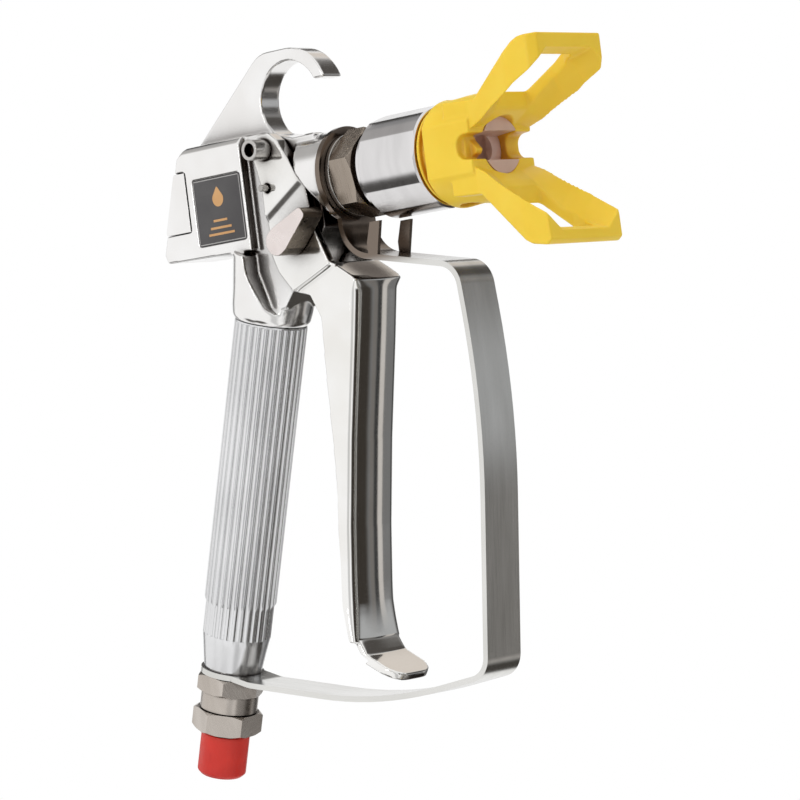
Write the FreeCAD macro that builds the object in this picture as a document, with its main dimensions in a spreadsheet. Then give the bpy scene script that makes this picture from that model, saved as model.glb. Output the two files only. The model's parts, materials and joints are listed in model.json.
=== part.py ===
"""Airless paint spray gun, built as separate pieces.

Frame: the origin is the centre of the spray tip bore, on the barrel line. +X points the way
the gun sprays, +Y to its left side and +Z up. Lengths are in millimetres, angles in degrees.
Pieces on the barrel are turned about X. Pieces on the handle are drawn along their own X,
which the handle placement then turns down the raked handle line.
"""
import FreeCAD, Part
import Sketcher
import math
import os
import re

DIMENSIONS = {
    # fits
    "running_gap": 0.05,
    "seat_gap": 0.1,
    "loose_gap": 0.3,
    # cast body
    "body_half_width": 12.5,
    "waist_half_width": 8.8,
    "block_front": -95.5,
    "block_back_top": -127.5,
    "block_back_foot": -139.0,
    "block_top": 20.5,
    "block_foot": -20.5,
    "block_edge_round": 4.0,
    "barrel_radius": 16.5,
    "barrel_front": -56.5,
    "hook_half_width": 5.0,
    "hook_eye_x": -75.5,
    "hook_eye_z": 30.0,
    "hook_eye_radius": 13.8,
    "hook_thickness": 4.6,
    "hook_tip_z": 35.4,
    "chamber_radius": 5.0,
    "chamber_back": -70.5,
    "packing_back": -76.9,
    "packing_nut_back": -80.4,
    "spring_bore_radius": 6.6,
    "spring_bore_front": -94.5,
    "diffuser_thread_radius": 9.0,
    "diffuser_thread_length": 9.0,
    "fluid_way_radius": 2.8,
    # rear cap
    "cap_front": -124.1,
    "cap_top": 11.5,
    "cap_foot": -9.8,
    "cap_plug_radius": 6.4,
    "cap_plug_length": 3.0,
    "cap_screw_radius": 1.5,
    "cap_screw_offset": 9.4,
    "cap_screw_length": 12.0,
    # label plate
    "label_front": -97.1,
    "label_side": 23.8,
    "label_foot": -15.9,
    "label_depth": 0.9,
    # needle line
    "rod_radius": 2.5,
    "rod_nose_radius": 1.5,
    "rod_nose_back": -70.8,
    "rod_back": -108.5,
    "ball_radius": 2.2,
    "seat_back": -64.5,
    "seat_length": 5.0,
    "seat_radius": 6.0,
    "seat_way_radius": 1.5,
    "gasket_thickness": 1.2,
    "packing_count": 3,
    "packing_thickness": 2.0,
    "spring_wire_radius": 0.55,
    "spring_coil_radius": 4.4,
    "spring_turns": 7,
    "spring_seat_thickness": 1.6,
    "spring_seat_x": -103.5,
    # cross pin and pivot
    "pivot_x": -81.7,
    "pivot_z": 13.4,
    "trigger_pull_angle": 9,
    "pin_x": -82.3,
    "pin_radius": 1.2,
    "pin_reach": 18.0,
    "pin_slot_margin": 0.25,
    "needle_travel": 3.3,
    "screw_radius": 2.5,
    "screw_boss_radius": 3.7,
    "screw_boss_reach": 22.0,
    "screw_socket_radius": 2.3,
    "screw_socket_depth": 4.0,
    "pivot_nut_flats": 9.0,
    "pivot_nut_height": 3.6,
    "bush_radius": 3.4,
    # trigger
    "ear_half_width": 13.0,
    "blade_half_width": 12.0,
    "channel_half_width": 9.2,
    # lock lever
    "lever_pivot_x": -73.1,
    "lever_pivot_z": -20.0,
    "lever_radius": 4.8,
    "lever_length": 16.5,
    "lever_nose_radius": 1.6,
    "lever_thickness": 9.8,
    "lever_angle": 32.0,
    "lever_pin_radius": 1.6,
    "detent_ball_radius": 0.9,
    "detent_distance": 3.1,
    # diffuser
    "diffuser_back": -52.2,
    "diffuser_front": -42.5,
    "diffuser_flats": 27.4,
    "diffuser_turn": 12.0,
    "diffuser_collar_radius": 14.6,
    "diffuser_spigot_radius": 12.0,
    "diffuser_spigot_front": -22.5,
    # guard nut
    "guard_nut_back": -36.8,
    "guard_nut_front": -10.1,
    "guard_nut_radius": 17.8,
    "guard_nut_collar_radius": 15.4,
    "guard_nut_collar_length": 2.0,
    "guard_nut_lip_bore": 10.2,
    "guard_nut_flats": 34.4,
    "guard_nut_turn": 16.0,
    # metal core
    "core_radius": 9.6,
    "core_front": 14.1,
    "core_slot_half": 4.2,
    "core_back": -20.9,
    "core_flange_radius": 11.6,
    "core_flange_length": 7.0,
    "core_way_radius": 4.9,
    "tip_bore_radius": 5.6,
    # yellow guard
    "guard_half_width": 16.5,
    "guard_half_height": 18.6,
    "guard_back": -6.5,
    "guard_flange_x": -9.8,
    "guard_flange_length": 1.4,
    "guard_notch_end": 7.9,
    "wing_reach": 47.5,
    "wing_half_width": 19.2,
    "wing_droop": 0.06,
    "wing_bar": 6.0,
    "window_inner": 20.5,
    # strap
    "strap_half_width": 8.75,
    "strap_thickness": 2.0,
    "strap_ring_radius": 17.3,
    "strap_ring_x": -55.2,
    "strap_front_x": -1.9,
    "strap_top_z": -37.6,
    "strap_foot_drop": 14.8,
    "strap_bend": 8.0,
    "strap_tab_thickness": 1.4,
    # handle line
    "handle_cross_x": -86.8,
    "handle_rake": 18.5,
    "handle_start": 47.9,
    "handle_length": 129.0,
    "handle_radius": 13.1,
    "handle_foot_radius": 12.4,
    "handle_cone_radius": 10.6,
    "handle_cone_length": 13.0,
    "handle_step_length": 26.0,
    "handle_bore_radius": 9.6,
    "flute_count": 30,
    "flute_radius": 1.15,
    "flute_margin": 0.8,
    "socket_radius": 16.4,
    "socket_foot_radius": 15.0,
    "socket_top": 16.0,
    "spigot_length": 9.0,
    "gasket_height": 1.5,
    # filter
    "filter_radius": 6.4,
    "filter_wall": 0.8,
    "filter_length": 78.0,
    "filter_end_height": 4.0,
    "filter_end_radius": 7.4,
    "filter_wire_radius": 0.6,
    "filter_spring_radius": 5.0,
    "filter_spring_turns": 5,
    # swivel
    "hex_flats": 22.2,
    "swivel_hex_height": 6.5,
    "swivel_neck_radius": 10.5,
    "swivel_neck_height": 6.5,
    "swivel_spigot_length": 16.0,
    "swivel_bore_radius": 6.2,
    "swivel_mouth_radius": 7.8,
    "swivel_ledge_depth": 4.0,
    "stem_hex_height": 8.0,
    "stem_bore_radius": 3.2,
    "stem_shoulder_radius": 7.2,
    "stem_shoulder_height": 2.8,
    "hose_thread_radius": 6.8,
    "hose_thread_length": 12.0,
    "oring_wire_radius": 0.75,
    "snap_ring_radius": 7.3,
    "snap_ring_thickness": 1.2,
    # soft cap
    "soft_cap_radius": 8.9,
    "soft_cap_length": 16.0,
    "soft_cap_end": 1.6,
    "soft_cap_mouth_radius": 7.9,
    "soft_cap_mouth_depth": 4.0,
}

document = FreeCAD.newDocument("airless_spray_gun")
sheet = document.addObject("Spreadsheet::Sheet", "Sizes")
for row, (alias, amount) in enumerate(DIMENSIONS.items(), start=1):
    sheet.set(f"A{row}", alias)
    sheet.set(f"B{row}", str(amount))
    sheet.setAlias(f"B{row}", alias)
document.recompute()

SUBPARTS = []


def number(formula):
    """The value of a formula written in the sheet's names."""
    return float(sheet.evalExpression(str(formula)))


def linked(formula):
    """The formula as the other objects write it, with the sheet before each name."""
    return re.sub(r"[a-z_]{4,}", lambda word: "Sizes." + word[0] if word[0] in DIMENSIONS else word[0],
                  str(formula))


def bind(item, prop, formula):
    """Ties one property to a formula in the sheet."""
    item.setExpression(prop, linked(formula))


def subpart(label, item):
    """Marks an object as one piece of the gun, written to its own file."""
    item.Label = label
    SUBPARTS.append(item)
    return item


def outline(body, plane, name, points):
    """A closed sketch of straight lines whose corners are tied to the sheet."""
    sketch = body.newObject("Sketcher::SketchObject", name)
    support = [feature for feature in body.Origin.OriginFeatures if feature.Role == plane][0]
    sketch.AttachmentSupport = [(support, "")]
    sketch.MapMode = "FlatFace"
    corners = [FreeCAD.Vector(number(across), number(up), 0) for across, up in points]
    for index, corner in enumerate(corners):
        sketch.addGeometry(Part.LineSegment(corner, corners[(index + 1) % len(corners)]))
    for index in range(len(corners)):
        after = (index + 1) % len(corners)
        sketch.addConstraint(Sketcher.Constraint("Coincident", index, 2, after, 1))
    for index, (across, up) in enumerate(points):
        for kind, formula, axis in (("DistanceX", across, -2), ("DistanceY", up, -1)):
            if str(formula) == "0":
                sketch.addConstraint(Sketcher.Constraint("PointOnObject", index, 1, axis))
                continue
            constraint = Sketcher.Constraint(kind, -1, 1, index, 1, number(formula))
            place = sketch.addConstraint(constraint)
            sketch.setExpression(f"Constraints[{place}]", linked(formula))
    return sketch


def turned(label, profile):
    """A body turned about its own X line from (x, radius) corners."""
    body = document.addObject("PartDesign::Body", label)
    sketch = outline(body, "XY_Plane", label + "_profile", profile)
    turning = body.newObject("PartDesign::Revolution", label + "_turning")
    turning.Profile = sketch
    turning.ReferenceAxis = (sketch, ["H_Axis"])
    turning.Angle = 360
    body.Tip = turning
    return body


def ring(label, start, end, inner, outer):
    """A plain ring, bush or tube on its own X line."""
    return turned(label, [(start, inner), (end, inner), (end, outer), (start, outer)])


def rod(label, start, end, radius):
    """A plain solid rod on its own X line."""
    return turned(label, [(start, 0), (end, 0), (end, radius), (start, radius)])


def plate(label, corners, width, rounds=(), plane="XZ_Plane"):
    """A flat piece, as wide on both sides of its plane. rounds lists (radius, corner numbers)."""
    body = document.addObject("PartDesign::Body", label)
    sketch = outline(body, plane, label + "_outline", corners)
    pad = body.newObject("PartDesign::Pad", label + "_pad")
    pad.Profile = sketch
    pad.Midplane = True
    bind(pad, "Length", width)
    body.Tip = pad
    document.recompute()
    last = pad
    across = {"XZ_Plane": lambda p: (p.x, p.z), "XY_Plane": lambda p: (p.x, p.y)}[plane]
    for order, (radius, chosen) in enumerate(rounds):
        wanted = [(number(corners[index][0]), number(corners[index][1])) for index in chosen]
        edges = []
        for place, edge in enumerate(last.Shape.Edges, start=1):
            ends = [across(vertex.Point) for vertex in edge.Vertexes]
            same = len(ends) == 2 and max(abs(a - b) for a, b in zip(*ends)) < 1e-6
            if same and any(abs(ends[0][0] - x) + abs(ends[0][1] - z) < 1e-3 for x, z in wanted):
                edges.append(f"Edge{place}")
        rounding = body.newObject("PartDesign::Fillet", f"{label}_round_{order}")
        rounding.Base = (last, edges)
        bind(rounding, "Radius", radius)
        body.Tip = rounding
        document.recompute()
        last = rounding
    return body


def cylinder(label, radius, length, start, direction):
    """A cylinder that starts at a point and runs along a direction."""
    item = document.addObject("Part::Cylinder", label)
    bind(item, "Radius", radius)
    bind(item, "Height", length)
    point = FreeCAD.Vector(*[number(value) for value in start])
    turn = FreeCAD.Rotation(FreeCAD.Vector(0, 0, 1), FreeCAD.Vector(*direction))
    item.Placement = FreeCAD.Placement(point, turn)
    for axis, value in zip("xyz", start):
        bind(item, f"Placement.Base.{axis}", value)
    return item


def hexagon(label, flats, length, start, turn="0"):
    """A hexagon bar on its own X line, with the corners of both ends turned off."""
    bar = document.addObject("Part::Prism", label + "_bar")
    bar.Polygon = 6
    bind(bar, "Circumradius", f"({flats}) / 2 / cos(30)")
    bind(bar, "Height", length)
    bar.Placement = FreeCAD.Placement(FreeCAD.Vector(number(start), 0, 0),
                                      FreeCAD.Rotation(FreeCAD.Vector(0, 1, 0), 90)
                                      * FreeCAD.Rotation(FreeCAD.Vector(0, 0, 1), number(turn)))
    bind(bar, "Placement.Base.x", start)
    rim = f"({flats}) / 2 * 1.02"
    tip = f"({flats}) / 2 / cos(30) + 0.2"
    corner = f"(({flats}) / 2 / cos(30) - ({flats}) / 2) * 0.6"
    end = f"{start} + {length}"
    envelope = turned(label + "_envelope", [
        (start, "0"), (end, "0"), (end, rim), (f"{end} - {corner}", tip),
        (f"{start} + {corner}", tip), (start, rim)])
    return common(label + "_hexagon", [bar, envelope])


def common(label, items):
    result = document.addObject("Part::MultiCommon", label)
    result.Shapes = items
    return result


def joined(label, items):
    result = document.addObject("Part::MultiFuse", label)
    result.Shapes = items
    return result


def cut(label, base, tools):
    """The base less all the tools."""
    result = document.addObject("Part::Cut", label)
    result.Base = base
    result.Tool = tools[0] if len(tools) == 1 else joined(label + "_tools", tools)
    return result


def on_handle(item):
    """Turns a piece drawn along X down the raked handle line."""
    turn = FreeCAD.Rotation(FreeCAD.Vector(0, 1, 0), 90 + number("handle_rake"))
    item.Placement = FreeCAD.Placement(FreeCAD.Vector(number("handle_cross_x"), 0, 0), turn)
    bind(item, "Placement.Base.x", "handle_cross_x")
    bind(item, "Placement.Rotation.Angle", "90 + handle_rake")
    return item


def handle_point(along, forward=0.0):
    """The (x, z) place of a point given along the handle line and square to it."""
    turn = FreeCAD.Rotation(FreeCAD.Vector(0, 1, 0), 90 + number("handle_rake"))
    point = turn.multVec(FreeCAD.Vector(number(along), 0, number(forward)))
    return point.x + number("handle_cross_x"), point.z


def coil(label, start, end, radius, wire, turns):
    """A helical spring along X from one end face to the other."""
    length = number(end) - number(start) - 2 * number(wire)
    helix = Part.makeHelix(length / number(turns), length, number(radius))
    section = Part.Wire(Part.makeCircle(number(wire), FreeCAD.Vector(number(radius), 0, 0),
                                        FreeCAD.Vector(0, 1, 0)))
    item = document.addObject("Part::Feature", label)
    item.Shape = Part.Wire(helix).makePipeShell([section], True, True)
    item.Placement = FreeCAD.Placement(FreeCAD.Vector(number(start) + number(wire), 0, 0),
                                       FreeCAD.Rotation(FreeCAD.Vector(0, 1, 0), 90))
    return item


def bent_side(points, aside):
    """Edges along (x, z, bend radius) corners, moved aside by a distance, corners turned to arcs."""
    corners = [FreeCAD.Vector(x, 0, z) for x, z, _ in points]
    runs = [(after - before).normalize() for before, after in zip(corners, corners[1:])]
    lefts = [FreeCAD.Vector(-run.z, 0, run.x) for run in runs]
    edges = []
    last = corners[0] + lefts[0] * aside
    for index in range(1, len(points) - 1):
        before = lefts[index - 1]
        after = lefts[index]
        corner = corners[index] + (before + after) * (aside / (1 + before.dot(after)))
        turns_left = before.x * after.z - before.z * after.x > 0
        radius = points[index][2] + (-aside if turns_left else aside)
        reach = radius * math.tan(runs[index - 1].getAngle(runs[index]) / 2)
        entry = corner - runs[index - 1] * reach
        leave = corner + runs[index] * reach
        inward = (before + after).normalize() * (radius if turns_left else -radius)
        centre = entry + before * (radius if turns_left else -radius)
        edges.append(Part.LineSegment(last, entry).toShape())
        edges.append(Part.Arc(entry, centre - inward, leave).toShape())
        last = leave
    end = corners[-1] + lefts[-1] * aside
    edges.append(Part.LineSegment(last, end).toShape())
    return edges


def bent_band(points, thickness, half_width):
    """A flat strip of constant thickness that follows a bent line in the XZ plane."""
    one = bent_side(points, thickness / 2)
    other = bent_side(points, -thickness / 2)
    ends = [Part.LineSegment(one[place].Vertexes[place].Point,
                             other[place].Vertexes[place].Point).toShape() for place in (0, -1)]
    profile = Part.Face(Part.Wire(Part.__sortEdges__(one + other + ends)))
    profile.translate(FreeCAD.Vector(0, -half_width, 0))
    return profile.extrude(FreeCAD.Vector(0, 2 * half_width, 0))


def soften(body, label, radius, wanted):
    """Rounds the edges of a body that a test picks out."""
    last = body.Tip
    edges = [f"Edge{place}" for place, edge in enumerate(last.Shape.Edges, start=1) if wanted(edge)]
    rounding = body.newObject("PartDesign::Fillet", label)
    rounding.Base = (last, edges)
    bind(rounding, "Radius", radius)
    body.Tip = rounding
    document.recompute()
    return body


def from_pivot(points):
    """Outline points given from the trigger's pivot, as formulas."""
    return [(f"pivot_x + {across}", f"pivot_z + {up}") for across, up in points]


def back_line(height):
    """The x of the block's slanted back at a height, as a formula."""
    low = "(block_foot + 4)"
    high = "(block_top - 4)"
    return (f"block_back_foot + (block_back_top - block_back_foot)"
            f" * (({height}) - {low}) / ({high} - {low})")


def cross_cylinder(label, radius, half_length, along, up):
    """A cylinder along Y, centred on the middle plane."""
    return cylinder(label, radius, f"2 * ({half_length})", (along, f"0 - ({half_length})", up), (0, 1, 0))


# ---------------------------------------------------------------- cast body
def make_body():
    block = plate("block", [
        ("block_front", "block_foot"),
        ("block_back_foot + 1.2", "block_foot + 0.8"),
        (back_line("block_foot + 4"), "block_foot + 4"),
        (back_line("block_top - 4"), "block_top - 4"),
        ("block_back_top + 3.5", "block_top"),
        ("block_front", "block_top"),
    ], "2 * body_half_width")
    top = number("block_top")
    side = number("body_half_width")
    soften(block, "block_top_round", "block_edge_round", lambda edge: all(
        abs(vertex.Point.z - top) < 1e-3 for vertex in edge.Vertexes) and all(
        abs(abs(vertex.Point.y) - side) < 1e-3 for vertex in edge.Vertexes)
        and edge.Vertexes[0].Point.y * edge.Vertexes[1].Point.y > 0)
    waist = plate("waist", [
        ("block_front - 8", "block_top - 0.3"),
        ("block_front + 7", "block_top - 0.3"),
        ("pivot_x + 9", "barrel_radius - 0.2"),
        ("barrel_front - 6", "barrel_radius - 0.2"),
        ("barrel_front - 6", "0 - barrel_radius"),
        ("barrel_front - 18", "0 - barrel_radius - 12.5"),
        ("barrel_front - 30", "0 - barrel_radius - 26"),
        ("block_front - 8", "0 - barrel_radius - 26"),
    ], "2 * waist_half_width")
    barrel_end = rod("barrel_end", "barrel_front - 16", "barrel_front", "barrel_radius")
    barrel_side = plate("barrel_side_relief", [
        ("barrel_front - 17", "barrel_radius + 1"),
        ("barrel_front - 15.6", "barrel_radius + 1"),
        ("barrel_front - 10.5", "0.2 * barrel_radius"),
        ("barrel_front - 2.8", "-0.46 * barrel_radius"),
        ("barrel_front - 1.2", "0 - barrel_radius - 1"),
        ("barrel_front - 17", "0 - barrel_radius - 1"),
    ], "2 * barrel_radius + 2")
    barrel = cut("barrel_collar", barrel_end, [barrel_side])
    socket = on_handle(turned("socket", [
        ("socket_top + 8", "0"), ("handle_start", "0"), ("handle_start", "handle_radius + 0.1"),
        ("handle_start - 1.6", "handle_radius + 1.1"), ("handle_start - 5", "socket_foot_radius - 0.3"),
        ("handle_start - 10", "socket_foot_radius"), ("socket_top + 8", "socket_radius")]))
    pocket_outline = [
        ("block_front", "block_top + 10"), ("barrel_front", "block_top + 10"),
        ("barrel_front", "0 - handle_start - 4"), ("block_front + 14", "0 - handle_start - 4"),
        ("block_front + 3", "block_foot - 21.5"), ("block_front - 1.5", "block_foot - 8"),
        ("block_front - 1.5", "block_foot - 1"), ("block_front", "block_foot - 1")]
    wide_pocket = plate("ear_pocket_wide", pocket_outline, "2 * socket_radius + 4")
    pocket_core = document.addObject("Part::Box", "ear_pocket_core")
    for prop, formula in (("Length", "120"), ("Width", "2 * waist_half_width"), ("Height", "160"),
                          ("Placement.Base.x", "block_front - 20"),
                          ("Placement.Base.y", "0 - waist_half_width"), ("Placement.Base.z", "-110")):
        bind(pocket_core, prop, formula)
    pocket = cut("ear_pockets", wide_pocket, [pocket_core])
    necked = cut("socket_with_pockets", socket, [pocket])
    spigot = on_handle(rod("body_spigot", "handle_start - 3", "handle_start + spigot_length",
                           "handle_bore_radius + 1"))
    arm = plate("hook_arm", [
        ("block_back_top + 1.6", "block_top - 2.6"),
        ("hook_eye_x - 12.4", "hook_eye_z + hook_eye_radius + hook_thickness + 0.2"),
        ("hook_eye_x", "hook_eye_z + hook_eye_radius + hook_thickness"),
        ("hook_eye_x", "hook_eye_z"),
        ("hook_eye_x - 2", "block_top - 4"),
        ("block_back_top + 3", "block_top - 4"),
    ], "2 * hook_half_width", rounds=[("12", [1])])
    crown = cross_cylinder("hook_crown", "hook_eye_radius + hook_thickness", "hook_half_width",
                           "hook_eye_x", "hook_eye_z")
    eye = cross_cylinder("hook_eye", "hook_eye_radius", "hook_half_width + 1", "hook_eye_x", "hook_eye_z")
    mouth = plate("hook_mouth", [
        ("hook_eye_x - 5", "hook_tip_z"), ("hook_eye_x + 30", "hook_tip_z"),
        ("hook_eye_x + 30", "barrel_radius"), ("hook_eye_x - 5", "barrel_radius")],
        "2 * hook_half_width + 2")
    hook = cut("hook", joined("hook_blank", [arm, crown]), [eye, mouth])
    casting = joined("casting", [block, waist, barrel, necked, spigot, hook])
    pin_slot = document.addObject("Part::Box", "pin_slot")
    for prop, formula in (
            ("Length", "needle_travel + 2 * pin_radius + 2 * pin_slot_margin"),
            ("Width", "2 * body_half_width"), ("Height", "2 * pin_radius + 2 * pin_slot_margin"),
            ("Placement.Base.x", "pin_x - needle_travel - pin_radius - pin_slot_margin"),
            ("Placement.Base.y", "0 - body_half_width"),
            ("Placement.Base.z", "0 - pin_radius - pin_slot_margin")):
        bind(pin_slot, prop, formula)
    cap_seat = plate("cap_seat", [
        ("cap_front", "cap_foot - seat_gap"), ("cap_front", "cap_top + seat_gap"),
        ("block_back_foot - 5", "cap_top + seat_gap"), ("block_back_foot - 5", "cap_foot - seat_gap")],
        "2 * body_half_width + 2")
    label_seat = document.addObject("Part::Box", "label_seat")
    for prop, formula in (
            ("Length", "label_side + 2 * seat_gap"), ("Width", "label_depth + 1"),
            ("Height", "label_side + 2 * seat_gap"),
            ("Placement.Base.x", "label_front - label_side - seat_gap"),
            ("Placement.Base.y", "0 - body_half_width - 1"),
            ("Placement.Base.z", "label_foot - seat_gap")):
        bind(label_seat, prop, formula)
    way_start = handle_point("handle_start + spigot_length + 1")
    way_end = (number("chamber_back + 2"), -number("chamber_radius") * 0.6)
    way = FreeCAD.Vector(way_end[0] - way_start[0], 0, way_end[1] - way_start[1])
    fluid_way = document.addObject("Part::Cylinder", "fluid_way")
    bind(fluid_way, "Radius", "fluid_way_radius")
    fluid_way.Height = way.Length
    fluid_way.Placement = FreeCAD.Placement(FreeCAD.Vector(way_start[0], 0, way_start[1]),
                                            FreeCAD.Rotation(FreeCAD.Vector(0, 0, 1), way))
    bores = [
        rod("thread_bore", "barrel_front - diffuser_thread_length", "barrel_front + 1",
            "diffuser_thread_radius + running_gap"),
        rod("chamber_bore", "packing_nut_back - seat_gap", "barrel_front", "chamber_radius"),
        rod("rod_bore", "spring_bore_front - 1", "packing_nut_back", "rod_radius + loose_gap"),
        rod("spring_bore", "cap_front - 1", "spring_bore_front", "spring_bore_radius"),
        cross_cylinder("pivot_bore", "screw_radius + running_gap", "waist_half_width + 1",
                       "pivot_x", "pivot_z"),
        pin_slot, cap_seat, label_seat, fluid_way] + cap_screw_tools("body_screw_hole", "cap_screw_radius")
    subpart("gun_body", cut("gun_body", casting, bores))


def cap_screw_tools(label, radius):
    """Two cylinders on the lines of the rear cap's screws."""
    tools = []
    for name, side in (("near", "0 - cap_screw_offset"), ("far", "cap_screw_offset")):
        tools.append(cylinder(f"{label}_{name}", radius, "cap_screw_length + 14",
                              ("cap_front - 14", side, "(cap_top + cap_foot) / 2"), (1, 0, 0)))
    return tools


def make_rear_cap():
    wedge = plate("cap_wedge", [
        ("cap_front - seat_gap", "cap_foot"), ("cap_front - seat_gap", "cap_top"),
        (back_line("cap_top") + " - 0.4", "cap_top"), (back_line("cap_foot") + " - 0.4", "cap_foot")],
        "2 * body_half_width", rounds=[("1", [2, 3])])
    plug = rod("cap_plug", "cap_front - 2", "cap_front + cap_plug_length", "cap_plug_radius")
    wedge_and_plug = joined("cap_blank", [wedge, plug])
    holes = cap_screw_tools("cap_screw_hole", "cap_screw_radius + running_gap")
    subpart("rear_cap", cut("rear_cap", wedge_and_plug, holes))
    middle = "(cap_top + cap_foot) / 2"
    screws = []
    for name, side in (("near", "0 - cap_screw_offset"), ("far", "cap_screw_offset")):
        depth = f"{back_line(middle)} + 1.2"
        screws.append(cylinder(f"cap_screw_{name}", "cap_screw_radius - running_gap",
                               f"cap_front + cap_screw_length - 2 - ({depth})",
                               (depth, side, middle), (1, 0, 0)))
    subpart("rear_cap_screws", compound("rear_cap_screws", screws))


def compound(label, items):
    result = document.addObject("Part::Compound", label)
    result.Links = items
    return result


def make_label():
    item = document.addObject("Part::Box", "label_plate")
    for prop, formula in (
            ("Length", "label_side"), ("Width", "label_depth - 0.2"), ("Height", "label_side"),
            ("Placement.Base.x", "label_front - label_side"),
            ("Placement.Base.y", "0.1 - body_half_width"),
            ("Placement.Base.z", "label_foot")):
        bind(item, prop, formula)
    subpart("label_plate", item)


# ---------------------------------------------------------------- needle line
def make_needle():
    ball_x = "seat_back - sqrt(ball_radius * ball_radius - seat_way_radius * seat_way_radius) - 0.05"
    blank = turned("rod_blank", [
        ("rod_back", "0"), (f"{ball_x} - 0.8 * ball_radius", "0"),
        (f"{ball_x} - 0.8 * ball_radius", "rod_nose_radius"), ("rod_nose_back", "rod_nose_radius"),
        ("rod_nose_back", "rod_radius"), ("rod_back", "rod_radius")])
    pin_hole = cross_cylinder("rod_pin_hole", "pin_radius + running_gap", "rod_radius + 1", "pin_x", "0")
    ball_seat = document.addObject("Part::Sphere", "rod_ball_seat")
    bind(ball_seat, "Radius", "ball_radius + running_gap")
    bind(ball_seat, "Placement.Base.x", ball_x)
    subpart("needle_rod", cut("needle_rod", blank, [pin_hole, ball_seat]))
    ball = document.addObject("Part::Sphere", "needle_ball")
    bind(ball, "Radius", "ball_radius")
    bind(ball, "Placement.Base.x", ball_x)
    subpart("needle_ball", ball)
    subpart("actuating_pin", cross_cylinder("actuating_pin", "pin_radius", "pin_reach", "pin_x", "0"))
    rings = []
    for index in range(int(number("packing_count"))):
        start = f"packing_back + 0.1 + {index} * packing_thickness"
        rings.append(ring(f"packing_{index}", start, f"{start} + packing_thickness - 0.1",
                          "rod_radius + running_gap", "chamber_radius - running_gap"))
    subpart("packing_seals", compound("packing_seals", rings))
    subpart("packing_nut", ring("packing_nut", "packing_nut_back", "packing_back",
                                "rod_radius + seat_gap", "chamber_radius - running_gap"))
    subpart("spring_seat", ring("spring_seat", "spring_seat_x - spring_seat_thickness", "spring_seat_x",
                                "rod_radius + running_gap", "spring_bore_radius - loose_gap"))
    subpart("needle_spring", coil("needle_spring", "cap_front + cap_plug_length + 0.1",
                                  "spring_seat_x - spring_seat_thickness - 0.1",
                                  "spring_coil_radius", "spring_wire_radius", "spring_turns"))
    subpart("carbide_seat", turned("carbide_seat", [
        ("seat_back", "seat_way_radius"), ("seat_back + seat_length", "seat_way_radius"),
        ("seat_back + seat_length", "seat_radius"), ("seat_back", "seat_radius")]))
    subpart("seat_gasket", ring("seat_gasket", "seat_back + seat_length + 0.1",
                                "seat_back + seat_length + gasket_thickness",
                                "seat_way_radius + 1.2", "seat_radius - seat_gap"))


# ---------------------------------------------------------------- trigger, pivot and lock
FRONT_EDGE = [(16.2, -14.4), (17.7, -31.0), (22.2, -42.0), (34.2, -50.4)]
BLADE_FACE = [(30.2, -70.4), (22.7, -105.4), (17.2, -135.4), (12.9, -165.0), (12.7, -175.4)]
BLADE_BACK = [(10.4, -175.0), (10.4, -163.4), (11.0, -145.4), (12.2, -124.4), (13.2, -110.4),
              (14.2, -79.4), (15.2, -61.4), (11.2, -53.0)]
EAR_LOBE = [(4.2, -50.9), (-1.7, -43.4), (-3.9, -37.4), (-3.3, -13.4), (-5.7, -2.4)]
EAR_CROWN = [(-5.7, 3.4), (-2.4, 5.7), (2.4, 5.7), (6.2, 2.6)]
CHANNEL = [(-30, 20), (21.0, 20), (21.0, -38.0), (24.4, -45.6), (30.2, -52.6), (26.7, -70.4),
           (19.2, -105.4), (13.7, -135.4), (11.0, -152.0), (-30, -152.0)]
TOE = [(12.7, -174.4), (15.2, -179.8), (28.2, -187.9), (26.8, -190.2), (13.7, -182.8), (10.4, -174.4)]


def make_trigger():
    outline_points = EAR_CROWN + FRONT_EDGE + BLADE_FACE + BLADE_BACK + EAR_LOBE
    blade = plate("trigger_blade", from_pivot(outline_points), "2 * blade_half_width")
    ears = plate("trigger_ears", from_pivot(EAR_CROWN + FRONT_EDGE[:3] + [(23.0, -43.4)] + EAR_LOBE),
                 "2 * ear_half_width", rounds=[("2.2", [0, 1, 2, 3]), ("1.5", [8])])
    channel = plate("trigger_channel", from_pivot(CHANNEL), "2 * channel_half_width",
                    rounds=[("2", [2, 8])])
    toe = plate("trigger_toe", from_pivot(TOE), "2 * blade_half_width - 3")
    tip_x = number("pivot_x") + TOE[3][0] - 0.1
    soften(toe, "toe_round", "blade_half_width * 0.6", lambda edge: all(
        vertex.Point.x > tip_x for vertex in edge.Vertexes)
        and abs(edge.Vertexes[0].Point.y - edge.Vertexes[-1].Point.y) < 1e-3)
    pivot_hole = cross_cylinder("ear_bush_hole", "bush_radius + running_gap", "ear_half_width + 1",
                                "pivot_x", "pivot_z")
    drop = "pivot_z * (1 / cos(trigger_pull_angle) - 1) + 0.15"
    slot = [cross_cylinder("pin_hole_high", "pin_radius + pin_slot_margin", "ear_half_width + 1",
                           "pin_x", "0"),
            cross_cylinder("pin_hole_low", "pin_radius + pin_slot_margin", "ear_half_width + 1",
                           "pin_x", f"0 - ({drop})")]
    lever_hole = cylinder("lever_pin_hole", "lever_pin_radius + running_gap", "ear_half_width",
                          ("lever_pivot_x", "0 - ear_half_width - 1", "lever_pivot_z"), (0, 1, 0))
    detent = cylinder("detent_hole", "detent_ball_radius + running_gap", "2 * detent_ball_radius + 1.2",
                      ("lever_pivot_x + detent_distance", "0 - ear_half_width - 1", "lever_pivot_z"),
                      (0, 1, 0))
    blank = joined("trigger_blank", [blade, ears, toe])
    subpart("trigger", cut("trigger", blank, [channel, pivot_hole, lever_hole, detent] + slot))


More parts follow.
